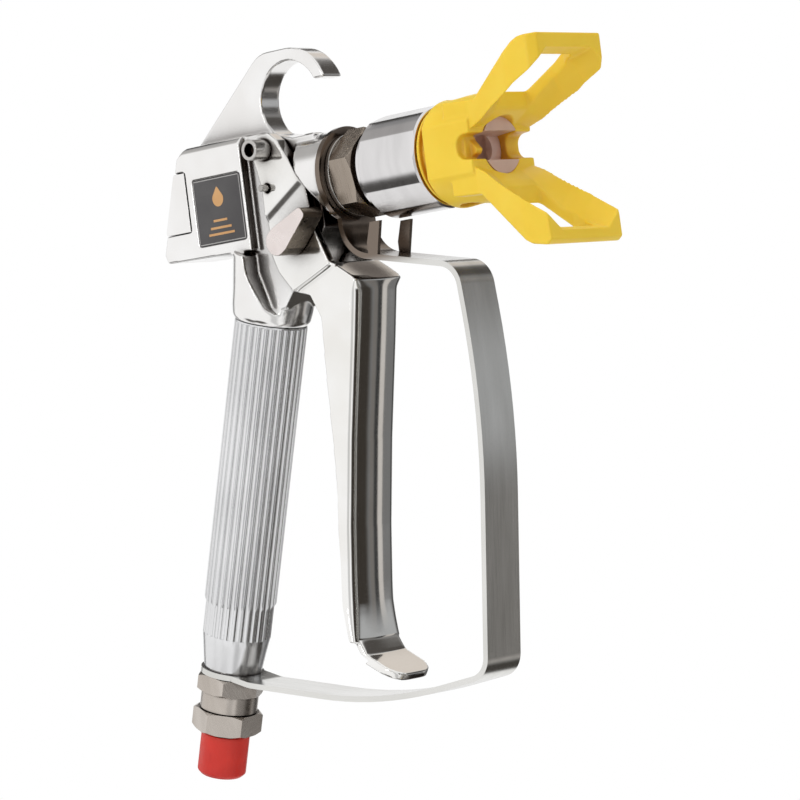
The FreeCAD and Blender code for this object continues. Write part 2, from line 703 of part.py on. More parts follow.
def make_pivot():
    shank = cylinder("pivot_shank", "screw_radius",
                     "2 * ear_half_width + seat_gap + pivot_nut_height + 0.8",
                     ("pivot_x", "0 - ear_half_width - seat_gap", "pivot_z"), (0, 1, 0))
    head = cylinder("pivot_head", "screw_boss_radius", "screw_boss_reach - ear_half_width - seat_gap",
                    ("pivot_x", "0 - screw_boss_reach", "pivot_z"), (0, 1, 0))
    recess = cylinder("pivot_socket", "screw_socket_radius", "screw_socket_depth + 1",
                      ("pivot_x", "0 - screw_boss_reach - 1", "pivot_z"), (0, 1, 0))
    subpart("trigger_pivot_screw", cut("trigger_pivot_screw", joined("pivot_blank", [shank, head]), [recess]))
    nut = document.addObject("Part::Prism", "pivot_nut_blank")
    nut.Polygon = 6
    bind(nut, "Circumradius", "pivot_nut_flats / 2 / cos(30)")
    bind(nut, "Height", "pivot_nut_height")
    nut.Placement = FreeCAD.Placement(FreeCAD.Vector(), FreeCAD.Rotation(FreeCAD.Vector(1, 0, 0), -90))
    bind(nut, "Placement.Base.x", "pivot_x")
    bind(nut, "Placement.Base.y", "ear_half_width + seat_gap")
    bind(nut, "Placement.Base.z", "pivot_z")
    nut_hole = cross_cylinder("pivot_nut_hole", "screw_radius + running_gap", "2 * ear_half_width",
                              "pivot_x", "pivot_z")
    subpart("trigger_pivot_nut", cut("trigger_pivot_nut", nut, [nut_hole]))
    bushes = []
    for name, start in (("near", "0 - ear_half_width"), ("far", "channel_half_width")):
        outer = cylinder(f"bush_{name}", "bush_radius", "ear_half_width - channel_half_width",
                         ("pivot_x", start, "pivot_z"), (0, 1, 0))
        hole = cross_cylinder(f"bush_{name}_hole", "screw_radius + running_gap",
                              "ear_half_width + 1", "pivot_x", "pivot_z")
        bushes.append(cut(f"bush_{name}_ring", outer, [hole]))
    subpart("trigger_bushes", compound("trigger_bushes", bushes))


def make_lock():
    lever = plate("lever_bar", [
        ("0 - lever_radius", "0 - lever_radius"), ("0 - lever_radius", "lever_radius"),
        ("2", "lever_radius"), ("lever_length", "lever_nose_radius + 0.6"),
        ("lever_length", "0 - lever_nose_radius"), ("2", "0 - lever_radius")],
        "lever_thickness", rounds=[("lever_radius - 0.3", [0, 1]), ("lever_nose_radius", [3, 4])])
    hole = cylinder("lever_pin_socket", "lever_pin_radius + running_gap", "lever_thickness",
                    ("0", "0 - lever_thickness / 2 + 2.4", "0"), (0, 1, 0))
    item = cut("lock_lever", lever, [hole])
    item.Placement = FreeCAD.Placement(
        FreeCAD.Vector(), FreeCAD.Rotation(FreeCAD.Vector(0, 1, 0), -number("lever_angle")))
    bind(item, "Placement.Base.x", "lever_pivot_x")
    bind(item, "Placement.Base.y", "0 - ear_half_width - loose_gap - lever_thickness / 2")
    bind(item, "Placement.Base.z", "lever_pivot_z")
    subpart("lock_lever", item)
    subpart("lock_lever_pin", cylinder(
        "lock_lever_pin", "lever_pin_radius",
        "ear_half_width - channel_half_width + loose_gap + lever_thickness - 2.8",
        ("lever_pivot_x", "0 - ear_half_width - loose_gap - lever_thickness + 2.8", "lever_pivot_z"),
        (0, 1, 0)))
    ball = document.addObject("Part::Sphere", "lock_detent_ball")
    bind(ball, "Radius", "detent_ball_radius")
    bind(ball, "Placement.Base.x", "lever_pivot_x + detent_distance")
    bind(ball, "Placement.Base.y", "detent_ball_radius - ear_half_width - 0.2")
    bind(ball, "Placement.Base.z", "lever_pivot_z")
    subpart("lock_detent_ball", ball)


# ---------------------------------------------------------------- diffuser, nut, core, guard
def make_front():
    hexes = hexagon("diffuser", "diffuser_flats", "diffuser_front - diffuser_back", "diffuser_back",
                    "diffuser_turn")
    pipe = turned("diffuser_pipe", [
        ("seat_back", "0"), ("diffuser_spigot_front", "0"),
        ("diffuser_spigot_front", "diffuser_spigot_radius"), ("diffuser_front - 1", "diffuser_spigot_radius"),
        ("diffuser_front - 1", "diffuser_thread_radius"), ("seat_back", "diffuser_thread_radius")])
    way = rod("diffuser_way", "seat_back", "diffuser_spigot_front + 1", "core_way_radius - 0.9")
    pocket = rod("seat_pocket", "seat_back - 1", "seat_back + seat_length + gasket_thickness",
                 "seat_radius + running_gap")
    subpart("diffuser_hex", cut("diffuser_hex", joined("diffuser_blank", [hexes, pipe]), [way, pocket]))
    subpart("barrel_washer", ring("barrel_washer", "strap_ring_x + strap_thickness / 2 + seat_gap",
                                  "diffuser_back - seat_gap", "diffuser_thread_radius + seat_gap",
                                  "diffuser_collar_radius"))
    nut_round = turned("guard_nut_round", [
        ("guard_nut_back - guard_nut_collar_length", "diffuser_spigot_radius + running_gap"),
        ("core_back + core_flange_length + seat_gap", "diffuser_spigot_radius + running_gap"),
        ("core_back + core_flange_length + seat_gap", "guard_nut_lip_bore"),
        ("guard_nut_front", "guard_nut_lip_bore"),
        ("guard_nut_front", "guard_nut_radius - 0.6"), ("guard_nut_front - 0.6", "guard_nut_radius"),
        ("guard_nut_back + 1.4", "guard_nut_radius"), ("guard_nut_back", "guard_nut_radius - 1.4"),
        ("guard_nut_back", "guard_nut_collar_radius"),
        ("guard_nut_back - guard_nut_collar_length", "guard_nut_collar_radius")])
    prism = document.addObject("Part::Prism", "guard_nut_prism")
    prism.Polygon = 6
    bind(prism, "Circumradius", "guard_nut_flats / 2 / cos(30)")
    bind(prism, "Height", "guard_nut_front - guard_nut_back + 10")
    prism.Placement = FreeCAD.Placement(
        FreeCAD.Vector(), FreeCAD.Rotation(FreeCAD.Vector(0, 1, 0), 90)
        * FreeCAD.Rotation(FreeCAD.Vector(0, 0, 1), 30 + number("guard_nut_turn")))
    bind(prism, "Placement.Base.x", "guard_nut_back - 5")
    subpart("guard_nut", common("guard_nut", [nut_round, prism]))
    subpart("core_seal", ring("core_seal", "diffuser_spigot_front + 0.1", "core_back - 0.1",
                              "core_way_radius", "core_flange_radius - seat_gap"))
    core_blank = turned("core_blank", [
        ("core_back", "core_way_radius"), ("core_front", "core_way_radius"),
        ("core_front", "core_radius"), ("guard_flange_x - 0.1", "core_radius"),
        ("guard_flange_x - 0.1", "guard_nut_lip_bore - seat_gap"),
        ("core_back + core_flange_length", "guard_nut_lip_bore - seat_gap"),
        ("core_back + core_flange_length", "core_flange_radius"), ("core_back", "core_flange_radius")])
    tip_hole = cylinder("core_tip_hole", "tip_bore_radius", "2 * guard_half_height + 2",
                        ("0", "0", "0 - guard_half_height - 1"), (0, 0, 1))
    slot = plate("core_slot", [
        ("guard_notch_end - 2.4", "0 - core_slot_half"), ("guard_notch_end - 2.4", "core_slot_half"),
        ("core_front + 1", "core_slot_half + 0.8"), ("core_front + 1", "0 - core_slot_half - 0.8")],
        "2 * core_radius + 2")
    subpart("guard_core", cut("guard_core", core_blank, [tip_hole, slot]))


WING_TOP = [(16.5, 15.8), (36.6, 32.6), (39.5, 34.0), (45.6, 34.7), (47.5, 33.0), (46.6, 23.6)]
WING_UNDER = [(44.1, 22.3), (36.4, 18.0), (28.6, 12.2), (19.0, 6.9), (10.0, 4.2)]
WING_GROOVE = [(10.0, 4.2, 4.4, 8.0), (19.0, 6.9, 11.6, 8.5), (28.6, 12.2, 21.6, 11.5),
               (36.4, 18.0, 26.8, 12.0), (44.1, 22.3, 29.2, 12.0), (52.0, 26.8, 31.6, 12.0)]


def wing_groove(name, sign):
    """A cutter that hollows one wing's inner face between its two deeper side walls."""
    half = number("wing_half_width") + 0.4
    droop = number("wing_droop")
    sections = []
    for x, rim, bed, bed_half in WING_GROOVE:
        corners = []
        for y, z in ((-half, rim), (-bed_half, bed), (bed_half, bed), (half, rim), (half, -1), (-half, -1)):
            corners.append(FreeCAD.Vector(x + droop * sign * z, y, sign * z - droop * (x - 5)))
        sections.append(Part.makePolygon(corners + corners[:1]))
    cutter = document.addObject("Part::Feature", f"wing_groove_{name}")
    cutter.Shape = Part.makeLoft(sections, True, True)
    return cutter


def make_guard():
    drum = rod("guard_drum", "guard_back", "14.0", "guard_half_height")
    slab = plate("guard_slab", [("guard_back - 1", "0 - guard_half_height - 1"),
                                ("guard_back - 1", "guard_half_height + 1"),
                                ("15", "guard_half_height + 1"), ("15", "0 - guard_half_height - 1")],
                 "2 * guard_half_width")
    base = common("guard_base", [drum, slab])
    upper = [("2", "10"), ("2", "guard_half_height - 2.8")] + WING_TOP + WING_UNDER + [("2", "3.9")]
    wings = []
    plan = plate("wing_plan", [
        ("3", "0 - guard_half_width + 1"), ("14", "0 - guard_half_width + 1"),
        ("35", "0 - wing_half_width"), ("wing_reach - 2.5", "0 - wing_half_width"),
        ("wing_reach + 0.5", "2.5 - wing_half_width"), ("wing_reach + 0.5", "wing_half_width - 2.5"),
        ("wing_reach - 2.5", "wing_half_width"), ("35", "wing_half_width"),
        ("14", "guard_half_width - 1"), ("3", "guard_half_width - 1")],
        "90", plane="XY_Plane", rounds=[("2", [3, 6]), ("8", [2, 7])])
    for name, sign in (("upper", "1"), ("lower", "-1")):
        side = plate(f"wing_{name}_side", [
            (f"{x} + wing_droop * {sign} * ({z})", f"{sign} * ({z}) - wing_droop * ({x} - 5)")
            for x, z in upper], "50")
        wings.append(cut(f"wing_{name}_hollowed", side, [wing_groove(name, int(sign))]))
    both = joined("wing_sides", wings)
    shaped = common("wing_pair", [both, plan])
    window = plate("wing_window", [
        ("window_inner", "-8.5"), ("window_inner + 10.5", "-12"), ("wing_reach - wing_bar - 6", "-12"),
        ("wing_reach - wing_bar", "-8.5"), ("wing_reach - wing_bar", "8.5"),
        ("wing_reach - wing_bar - 6", "12"), ("window_inner + 10.5", "12"), ("window_inner", "8.5")],
        "90", plane="XY_Plane", rounds=[("1.5", [0, 3, 4, 7])])
    notch = plate("guard_notch", [
        ("guard_notch_end", "-3.9"), ("guard_notch_end", "3.9"), ("20", "5.0"), ("20", "-5.0")],
        "50", rounds=[("3.6", [0, 1])])
    flange = ring("guard_flange", "guard_flange_x", "guard_flange_x + guard_flange_length",
                  "core_radius", "guard_half_width + 0.3")
    neck = ring("guard_neck", "guard_flange_x", "guard_back + 1", "core_radius", "guard_half_width - 1.6")
    core_hole = rod("guard_core_hole", "guard_flange_x - 1", "window_inner + 2",
                    "core_radius + running_gap")
    tip_hole = cylinder("guard_tip_hole", "tip_bore_radius", "2 * guard_half_height + 2",
                        ("0", "0", "0 - guard_half_height - 1"), (0, 0, 1))
    blank = joined("guard_blank", [base, shaped, flange, neck])
    hollowed = cut("guard_hollowed", blank, [window, notch, core_hole, tip_hole])
    lug = plate("guard_lug", [
        ("guard_notch_end - 1.9", "0 - core_slot_half + 0.4"),
        ("guard_notch_end - 1.9", "core_slot_half - 0.4"),
        ("guard_notch_end + 0.6", "core_slot_half - 0.4"), ("guard_notch_end + 4.4", "-0.9"),
        ("guard_notch_end + 3.6", "-2.4"), ("guard_notch_end + 0.6", "0 - core_slot_half + 0.4")], "3.4")
    bind(lug, "Placement.Base.y", "0 - core_radius - running_gap + 0.4")
    lug_bar = document.addObject("Part::Box", "guard_lug_root")
    for prop, formula in (
            ("Length", "3.4"), ("Width", "6"), ("Height", "2 * core_slot_half - 0.8"),
            ("Placement.Base.x", "guard_notch_end - 1.9"),
            ("Placement.Base.y", "0 - core_radius - 4"), ("Placement.Base.z", "0.4 - core_slot_half")):
        bind(lug_bar, prop, formula)
    subpart("tip_guard", joined("tip_guard", [hollowed, lug, lug_bar]))


# ---------------------------------------------------------------- strap
def make_strap():
    handle_end = "handle_start + handle_length + seat_gap + strap_thickness / 2"
    foot_back = handle_point(handle_end, -number("handle_cone_radius - 3"))
    foot_bend = handle_point(handle_end, 16.5)
    top = number("strap_top_z")
    front = number("strap_front_x")
    bend = number("strap_bend")
    foot = handle_point(handle_end)[1] - number("strap_foot_drop")
    tall = top - foot
    route = [
        (number("strap_ring_x"), -number("strap_ring_radius") + 3, 0),
        (number("strap_ring_x"), top + 10.4, 13.0),
        (front - 3.6, top, bend + 1.0),
        (front, top - 0.325 * tall, 2.05 * tall),
        (front - 13.1, foot + 7.0, bend),
        (front - 62.6, foot - 0.6, 180.0),
        (foot_bend[0], foot_bend[1], 20.0),
        (foot_back[0], foot_back[1], 0)]
    strip = document.addObject("Part::Feature", "strap_strip")
    strip.Shape = bent_band(route, number("strap_thickness"), number("strap_half_width"))
    ring_plate = ring("strap_ring", "strap_ring_x - strap_thickness / 2",
                      "strap_ring_x + strap_thickness / 2", "0", "strap_ring_radius")
    tabs = []
    for name, side in (("near", "0 - strap_half_width"), ("far", "strap_half_width - strap_tab_thickness")):
        tab = plate(f"strap_tab_{name}", [
            ("strap_ring_x + 11.2", "strap_top_z + 12.6"), ("strap_ring_x + 13.6", "strap_top_z + 19.6"),
            ("strap_ring_x + 18.2", "strap_top_z + 19.6"), ("strap_ring_x + 15.2", "strap_top_z + 7.6"),
            ("strap_ring_x + 11.2", "strap_top_z + 8.6")], "strap_tab_thickness")
        bind(tab, "Placement.Base.y", side + " + strap_tab_thickness / 2")
        tabs.append(tab)
    barrel_hole = rod("strap_barrel_hole", "strap_ring_x - 3", "strap_ring_x + 3",
                      "diffuser_thread_radius + seat_gap")
    swivel_hole = on_handle(rod("strap_swivel_hole", "handle_start + handle_length - 3",
                                "handle_start + handle_length + 5", "handle_bore_radius"))
    foot_disc = on_handle(rod("strap_foot_disc", "handle_start + handle_length + seat_gap",
                              "handle_start + handle_length + seat_gap + strap_thickness",
                              "handle_cone_radius + 1"))
    blank = joined("strap_blank", [strip, ring_plate, foot_disc] + tabs)
    subpart("trigger_guard_strap", cut("trigger_guard_strap", blank, [barrel_hole, swivel_hole]))


# ---------------------------------------------------------------- handle, filter, swivel
def make_handle():
    foot = "handle_start + handle_length"
    start = "handle_start + seat_gap"
    tube = turned("handle_tube_body", [
        (start, "handle_bore_radius + 1 + running_gap"),
        ("handle_start + spigot_length + 2", "handle_bore_radius + 1 + running_gap"),
        ("handle_start + spigot_length + 2", "handle_bore_radius"), (foot, "handle_bore_radius"),
        (foot, "handle_cone_radius"), (f"{foot} - handle_cone_length", "handle_foot_radius"),
        (f"{foot} - handle_step_length + 1.5", "handle_foot_radius"),
        (f"{foot} - handle_step_length", "handle_radius"), (start, "handle_radius")])
    document.recompute()
    plain = tube.Shape.Volume
    sketch = tube.newObject("Sketcher::SketchObject", "flute_section")
    support = [feature for feature in tube.Origin.OriginFeatures if feature.Role == "YZ_Plane"][0]
    sketch.AttachmentSupport = [(support, "")]
    sketch.MapMode = "FlatFace"
    sketch.AttachmentOffset = FreeCAD.Placement(
        FreeCAD.Vector(0, 0, number("handle_start + flute_margin")), FreeCAD.Rotation())
    sketch.addGeometry(Part.Circle(FreeCAD.Vector(0, number("handle_radius"), 0),
                                   FreeCAD.Vector(0, 0, 1), number("flute_radius")))
    sketch.addConstraint(Sketcher.Constraint("PointOnObject", 0, 3, -2))
    height = sketch.addConstraint(Sketcher.Constraint("DistanceY", -1, 1, 0, 3, number("handle_radius")))
    sketch.setExpression(f"Constraints[{height}]", linked("handle_radius"))
    radius = sketch.addConstraint(Sketcher.Constraint("Radius", 0, number("flute_radius")))
    sketch.setExpression(f"Constraints[{radius}]", linked("flute_radius"))
    flute = tube.newObject("PartDesign::Pocket", "flute")
    flute.Profile = sketch
    flute.Reversed = True
    bind(flute, "Length", "handle_length - handle_cone_length - flute_margin")
    document.recompute()
    pattern = tube.newObject("PartDesign::PolarPattern", "flutes")
    pattern.Originals = [flute]
    pattern.Axis = (tube.Group[0], ["H_Axis"])
    pattern.Angle = 360
    bind(pattern, "Occurrences", "flute_count")
    tube.Tip = pattern
    document.recompute()
    if tube.Shape.Volume > plain - 1:
        raise RuntimeError("the flutes cut nothing from the handle")
    subpart("handle_tube", on_handle(tube))
    gasket = "handle_start + spigot_length + seat_gap"
    subpart("handle_gasket", on_handle(ring("handle_gasket", gasket, f"{gasket} + gasket_height",
                                            "filter_end_radius", "handle_bore_radius + 0.8")))
    top_end = "handle_start + spigot_length + 2.1"
    low_end = f"{top_end} + filter_length"
    ends = [ring("filter_end_top", top_end, f"{top_end} + filter_end_height", "filter_radius - 2.4",
                 "handle_bore_radius - seat_gap"),
            ring("filter_end_low", low_end, f"{low_end} + filter_end_height", "filter_radius - 2.4",
                 "filter_end_radius")]
    subpart("filter_ends", on_handle(compound("filter_ends", ends)))
    subpart("filter_screen", on_handle(ring(
        "filter_screen", f"{top_end} + filter_end_height + 0.1", f"{low_end} - 0.1",
        "filter_radius - filter_wall", "filter_radius")))
    spring = coil("filter_coil", f"{low_end} + filter_end_height + 0.1",
                  "handle_start + handle_length - swivel_spigot_length - 0.1",
                  "filter_spring_radius", "filter_wire_radius", "filter_spring_turns")
    placed = document.addObject("Part::Compound", "filter_spring_on_line")
    placed.Links = [spring]
    subpart("filter_spring", on_handle(placed))


def make_swivel():
    foot = "handle_start + handle_length"
    hex_start = f"{foot} + strap_thickness + 2 * seat_gap"
    neck_start = f"{hex_start} + swivel_hex_height"
    neck_end = f"{neck_start} + swivel_neck_height"
    spigot_top = f"{foot} - swivel_spigot_length"
    hex_bar = hexagon("swivel", "hex_flats", "swivel_hex_height", hex_start, "0")
    pipe = turned("swivel_pipe", [
        (spigot_top, "swivel_mouth_radius"), (f"{spigot_top} + swivel_ledge_depth", "swivel_mouth_radius"),
        (f"{spigot_top} + swivel_ledge_depth", "swivel_bore_radius"), (neck_end, "swivel_bore_radius"),
        (neck_end, "swivel_neck_radius"), (neck_start, "swivel_neck_radius"),
        (neck_start, "handle_bore_radius - seat_gap"), (spigot_top, "handle_bore_radius - seat_gap")])
    bore = rod("swivel_hex_bore", f"{hex_start} - 1", f"{neck_start} + 1", "swivel_bore_radius")
    subpart("swivel_body", on_handle(cut("swivel_body", joined("swivel_blank", [hex_bar, pipe]), [bore])))
    stem_hex_start = f"{neck_end} + loose_gap"
    shoulder = f"{stem_hex_start} + stem_hex_height"
    thread = f"{shoulder} + stem_shoulder_height"
    ledge = f"{spigot_top} + swivel_ledge_depth"
    stem_radius = "swivel_bore_radius - running_gap"
    ring_seat = "(snap_ring_thickness + 0.2)"
    stem_hex = hexagon("stem", "hex_flats", "stem_hex_height", stem_hex_start, "22")
    oring_place = f"{neck_start} - 3"
    groove = "swivel_bore_radius - 2 * oring_wire_radius"
    stem = turned("stem_pipe", [
        (f"{spigot_top} + 1", "0"), (f"{thread} + hose_thread_length", "0"),
        (f"{thread} + hose_thread_length", "hose_thread_radius - 0.8"),
        (f"{thread} + hose_thread_length - 0.8", "hose_thread_radius"), (thread, "hose_thread_radius"),
        (thread, "stem_shoulder_radius"), (f"{shoulder} - 1", "stem_shoulder_radius"),
        (f"{shoulder} - 1", "swivel_neck_radius - 1"), (stem_hex_start, "swivel_neck_radius - 1"),
        (stem_hex_start, stem_radius),
        (f"{oring_place} + oring_wire_radius + 0.1", stem_radius),
        (f"{oring_place} + oring_wire_radius + 0.1", groove),
        (f"{oring_place} - oring_wire_radius - 0.1", groove),
        (f"{oring_place} - oring_wire_radius - 0.1", stem_radius), (ledge, stem_radius),
        (ledge, "swivel_bore_radius - 1"), (f"{ledge} - {ring_seat}", "swivel_bore_radius - 1"),
        (f"{ledge} - {ring_seat}", stem_radius), (f"{spigot_top} + 1", stem_radius)])
    bore = rod("stem_bore", spigot_top, f"{thread} + hose_thread_length + 1", "stem_bore_radius")
    subpart("swivel_stem", on_handle(cut("swivel_stem", joined("stem_blank", [stem_hex, stem]), [bore])))
    seal = document.addObject("Part::Torus", "oring_torus")
    bind(seal, "Radius1", f"{groove} + oring_wire_radius - 0.05")
    bind(seal, "Radius2", "oring_wire_radius - 0.1")
    seal.Placement = FreeCAD.Placement(FreeCAD.Vector(number(oring_place), 0, 0),
                                       FreeCAD.Rotation(FreeCAD.Vector(0, 1, 0), 90))
    bind(seal, "Placement.Base.x", oring_place)
    seal_line = document.addObject("Part::Compound", "swivel_oring_on_line")
    seal_line.Links = [seal]
    subpart("swivel_oring", on_handle(seal_line))
    subpart("swivel_snap_ring", on_handle(ring(
        "swivel_snap_ring", f"{ledge} - 0.1 - snap_ring_thickness", f"{ledge} - 0.1",
        "swivel_bore_radius - 1 + running_gap", "snap_ring_radius")))
    cap_start = f"{shoulder} + 1"
    cap_end = f"{cap_start} + soft_cap_length"
    subpart("protective_cap", on_handle(turned("protective_cap", [
        (f"{cap_end} - soft_cap_end", "0"), (cap_end, "0"), (cap_end, "soft_cap_radius - 1.4"),
        (f"{cap_end} - 1.4", "soft_cap_radius"), (cap_start, "soft_cap_radius"),
        (cap_start, "soft_cap_mouth_radius"),
        (f"{cap_start} + soft_cap_mouth_depth", "soft_cap_mouth_radius"),
        (f"{cap_start} + soft_cap_mouth_depth", "hose_thread_radius + 0.3"),
        (f"{cap_end} - soft_cap_end", "hose_thread_radius + 0.3")])))


make_body()
make_rear_cap()
make_label()
make_needle()
make_trigger()
make_pivot()
make_lock()
make_front()
make_guard()
make_strap()
make_handle()
make_swivel()

document.recompute()
for item in document.Objects:
    if "Invalid" in item.State or "Error" in item.State:
        raise RuntimeError(f"{item.Label} failed: {item.State}")
os.makedirs("parts", exist_ok=True)
for item in SUBPARTS:
    if item.Shape.isNull() or not item.Shape.isValid() or not item.Shape.Solids:
        raise RuntimeError(f"{item.Label} has no valid solid")
    item.Shape.exportStep(f"parts/{item.Label}.step")
    print(item.Label, len(item.Shape.Solids), round(item.Shape.Volume, 1))
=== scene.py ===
"""Looks of an airless paint spray gun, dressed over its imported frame. Units are metres."""
import json
import math

import bmesh
import bpy
from mathutils import Matrix, Vector


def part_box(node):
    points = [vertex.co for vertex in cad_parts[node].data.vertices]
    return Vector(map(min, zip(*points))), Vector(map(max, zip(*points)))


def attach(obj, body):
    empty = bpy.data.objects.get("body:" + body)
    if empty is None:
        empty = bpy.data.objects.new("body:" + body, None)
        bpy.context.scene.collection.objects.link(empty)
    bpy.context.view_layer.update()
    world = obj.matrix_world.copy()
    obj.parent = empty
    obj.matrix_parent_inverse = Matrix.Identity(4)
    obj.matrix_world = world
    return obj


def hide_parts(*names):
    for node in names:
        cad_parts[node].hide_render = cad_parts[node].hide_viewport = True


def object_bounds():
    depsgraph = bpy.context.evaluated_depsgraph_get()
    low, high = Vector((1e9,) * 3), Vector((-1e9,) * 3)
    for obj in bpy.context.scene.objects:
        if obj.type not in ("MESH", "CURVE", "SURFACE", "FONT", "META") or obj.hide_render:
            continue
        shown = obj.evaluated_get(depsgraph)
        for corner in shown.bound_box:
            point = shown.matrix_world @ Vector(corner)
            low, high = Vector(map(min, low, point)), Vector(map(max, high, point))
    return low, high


MM = 0.001

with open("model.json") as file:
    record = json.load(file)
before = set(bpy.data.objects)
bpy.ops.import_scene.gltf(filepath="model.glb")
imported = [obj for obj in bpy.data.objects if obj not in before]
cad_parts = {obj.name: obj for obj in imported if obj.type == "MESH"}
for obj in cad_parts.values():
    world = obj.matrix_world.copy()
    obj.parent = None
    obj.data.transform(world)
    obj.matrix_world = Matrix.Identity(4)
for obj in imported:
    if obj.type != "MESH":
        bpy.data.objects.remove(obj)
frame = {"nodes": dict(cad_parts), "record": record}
cad_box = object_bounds()
NODES = frame["nodes"]
BODY_OF = {node: body for body, nodes in frame["record"]["behaviour"]["bodies"].items() for node in nodes}

# the trigger's pressed shape, in mm
BLADE_HALF = 12.0
BLADE_MIDDLE = 5.0  # within this of its middle, the blade shows how far forward its face is
BLADE_TOP = 45.0  # from the pivot screw's underside down to the blade
CROWN = 2.0  # how far the blade's sides lie behind its middle
CROWN_DEPTH = 7.0  # metal further behind the face stays where it is
CROWN_FADE_TOP = 5.0
CROWN_FADE_TOE = 22.0
TOE_HEIGHT = 6.0  # the crown ends here, above the toe's lowest point
ROLL_RADIUS = 3.0
ROLL_SHARE = 0.8
BEND_HEIGHT = 25.2  # where the blade's face turns upright, above the toe's lowest point
BEND_REACH = 12.0
BEND_FILL = 0.38
TAIL_HEIGHT = 52.0  # the side walls die away from here down to the toe
TAIL_LENGTH = 36.0
TAIL_FOOT = 8.0
WALL_LEFT = 2.6
WALL_SHARE = 0.92
EAR_SIDE = 10.0  # the joggles move only what lies further out than this
EAR_FADE = 1.5
HIGH_JOGGLE = ((-75.0, -4.9), 30.8)  # a point (x, z) on its line, and the line's slope in degrees
LOW_JOGGLE = ((-68.4, -34.1), 20.2)
HIGH_STEP = 1.6
LOW_STEP = 1.4
JOGGLE_WIDTH = 3.0
SOLID_STEP = 1.0  # the step that the CAD node has at the lower joggle

# the label's plate and print, in mm
PRINT_SINK = 0.12
PRINT_THICK = 0.06
RIM_INSET = 0.35
RIM_HALF = 0.16
STRIPE_HALF = 0.42
STRIPES = ((-3.6, 3.4), (-6.2, 5.2), (-8.4, 6.4))  # height on the plate and half length
DROP_HEIGHT = 4.2
DROP_HALF_WIDE = 2.7
DROP_HALF_TALL = 2.9
DROP_POINT = 0.45  # how far the top is drawn out
DROP_PINCH = 0.35  # how much the upper half narrows
DROP_STEPS = 40

# flags that only glossy rays meet: azimuth, half width and width to the end of its soft edge, in degrees;
# lowest and highest height as the sine of the elevation, and their softness; brightness; warmth
FLAGS = (
    (14, 30, 40, -0.62, 0.42, 0.14, 0.035, 0.15),  # the unlit end of the room
    (74, 34, 41, -0.42, 0.42, 0.08, 0.17, 0.0),
    (43, 2, 4, -0.62, 0.34, 0.1, 0.16, 0.06),  # thin lines down the trigger's face
    (50, 2, 5, -0.62, 0.34, 0.1, 0.04, 0.0),
    (57, 3, 5, -0.62, 0.34, 0.1, 0.52, 0.05),
    (88, 3, 8, -0.42, 0.16, 0.08, 0.04, 0.0),
    (48, 16, 30, -0.13, 0.13, 0.05, 0.43, -0.02),  # the level stretch that the flat strap mirrors
    (68, 18, 34, 0.4, 0.74, 0.1, 0.07, 0.08),  # overhead, for the strap's bend and the nut
    (62, 26, 40, -0.95, -0.46, 0.08, 0.05, 0.1))  # underfoot, for the strap's foot and the nut
# round flags: direction, radius and radius to the end of the soft edge, in degrees; brightness; warmth
ROUND_FLAGS = (
    ((-0.49, 0.75, 0.45), 4, 9, 0.07, 0.08),
    ((-0.664, -0.1, 0.74), 8, 24, 0.42, 0.02),
    ((-0.25, -0.63, -0.74), 10, 20, 0.07, 0.08),
    ((-0.664, 0.44, 0.604), 7, 18, 0.05, 0.05),
    ((-0.664, -0.52, -0.54), 8, 18, 0.07, 0.05),
    ((-0.664, 0.45, -0.6), 8, 20, 0.07, 0.08),
    ((-0.21, 0.78, 0.6), 5, 10, 0.62, 0.09))  # the toe's upper face

CAMERA_AT = (0.7583, -0.9024, -0.1031)
CAMERA_AZIMUTH = math.radians(41.7)
CAMERA_ELEVATION = math.radians(-1.1)
CAMERA_ROLL = math.radians(7.2)
CAMERA_LENS = 157.0
MIDDLE = (-0.06, 0.0, -0.07)
FLOOR_DROP = 45.0  # mm under the gun
FLOOR_HALF = 4.0  # m
FLOOR_WHITE = (0.2, 0.27)  # m from the middle, between which the floor turns to the background's white


# ---------------------------------------------------------------- node helpers
class Nodes:
    """Short names for building one node tree."""

    def __init__(self, tree):
        self.tree = tree

    def add(self, kind, inputs=None, **props):
        node = self.tree.nodes.new(kind)
        for name, value in props.items():
            setattr(node, name, value)
        for key, value in (inputs or {}).items():
            if isinstance(value, bpy.types.NodeSocket):
                self.tree.links.new(value, node.inputs[key])
            else:
                node.inputs[key].default_value = value
        return node

    def math(self, operation, first, second):
        return self.add("ShaderNodeMath", {0: first, 1: second}, operation=operation).outputs[0]

    def noise(self, vector, scale, detail, rough=0.5):
        return self.add("ShaderNodeTexNoise", {"Vector": vector, "Scale": scale, "Detail": detail,
                                               "Roughness": rough}).outputs["Fac"]

    def spread(self, value, low, high, out_low=0.0, out_high=1.0, smooth=False):
        return self.add("ShaderNodeMapRange",
                        {"Value": value, "From Min": low, "From Max": high, "To Min": out_low,
                         "To Max": out_high},
                        interpolation_type="SMOOTHSTEP" if smooth else "LINEAR").outputs["Result"]

    def mix(self, amount, first, second):
        return self.add("ShaderNodeMix", {0: amount, 6: first, 7: second}, data_type="RGBA").outputs[2]

    def stretched(self, vector, scale):
        return self.add("ShaderNodeMapping", {"Vector": vector, "Scale": scale}).outputs["Vector"]


def rgb(red, green, blue):
    """Linear colour from the 0 to 255 values that a screen shows."""
    def line(value):
        value = value / 255
        return value / 12.92 if value <= 0.04045 else ((value + 0.055) / 1.055) ** 2.4
    return (line(red), line(green), line(blue), 1.0)


def material(name, **shader):
    """An empty material with one Principled shader whose even values are set on its sockets."""
    made = bpy.data.materials.new(name)
    made.use_nodes = True
    kit = Nodes(made.node_tree)
    principled = made.node_tree.nodes["Principled BSDF"]
    for key, value in shader.items():
        principled.inputs[key.replace("_", " ")].default_value = value
    return made, kit, principled


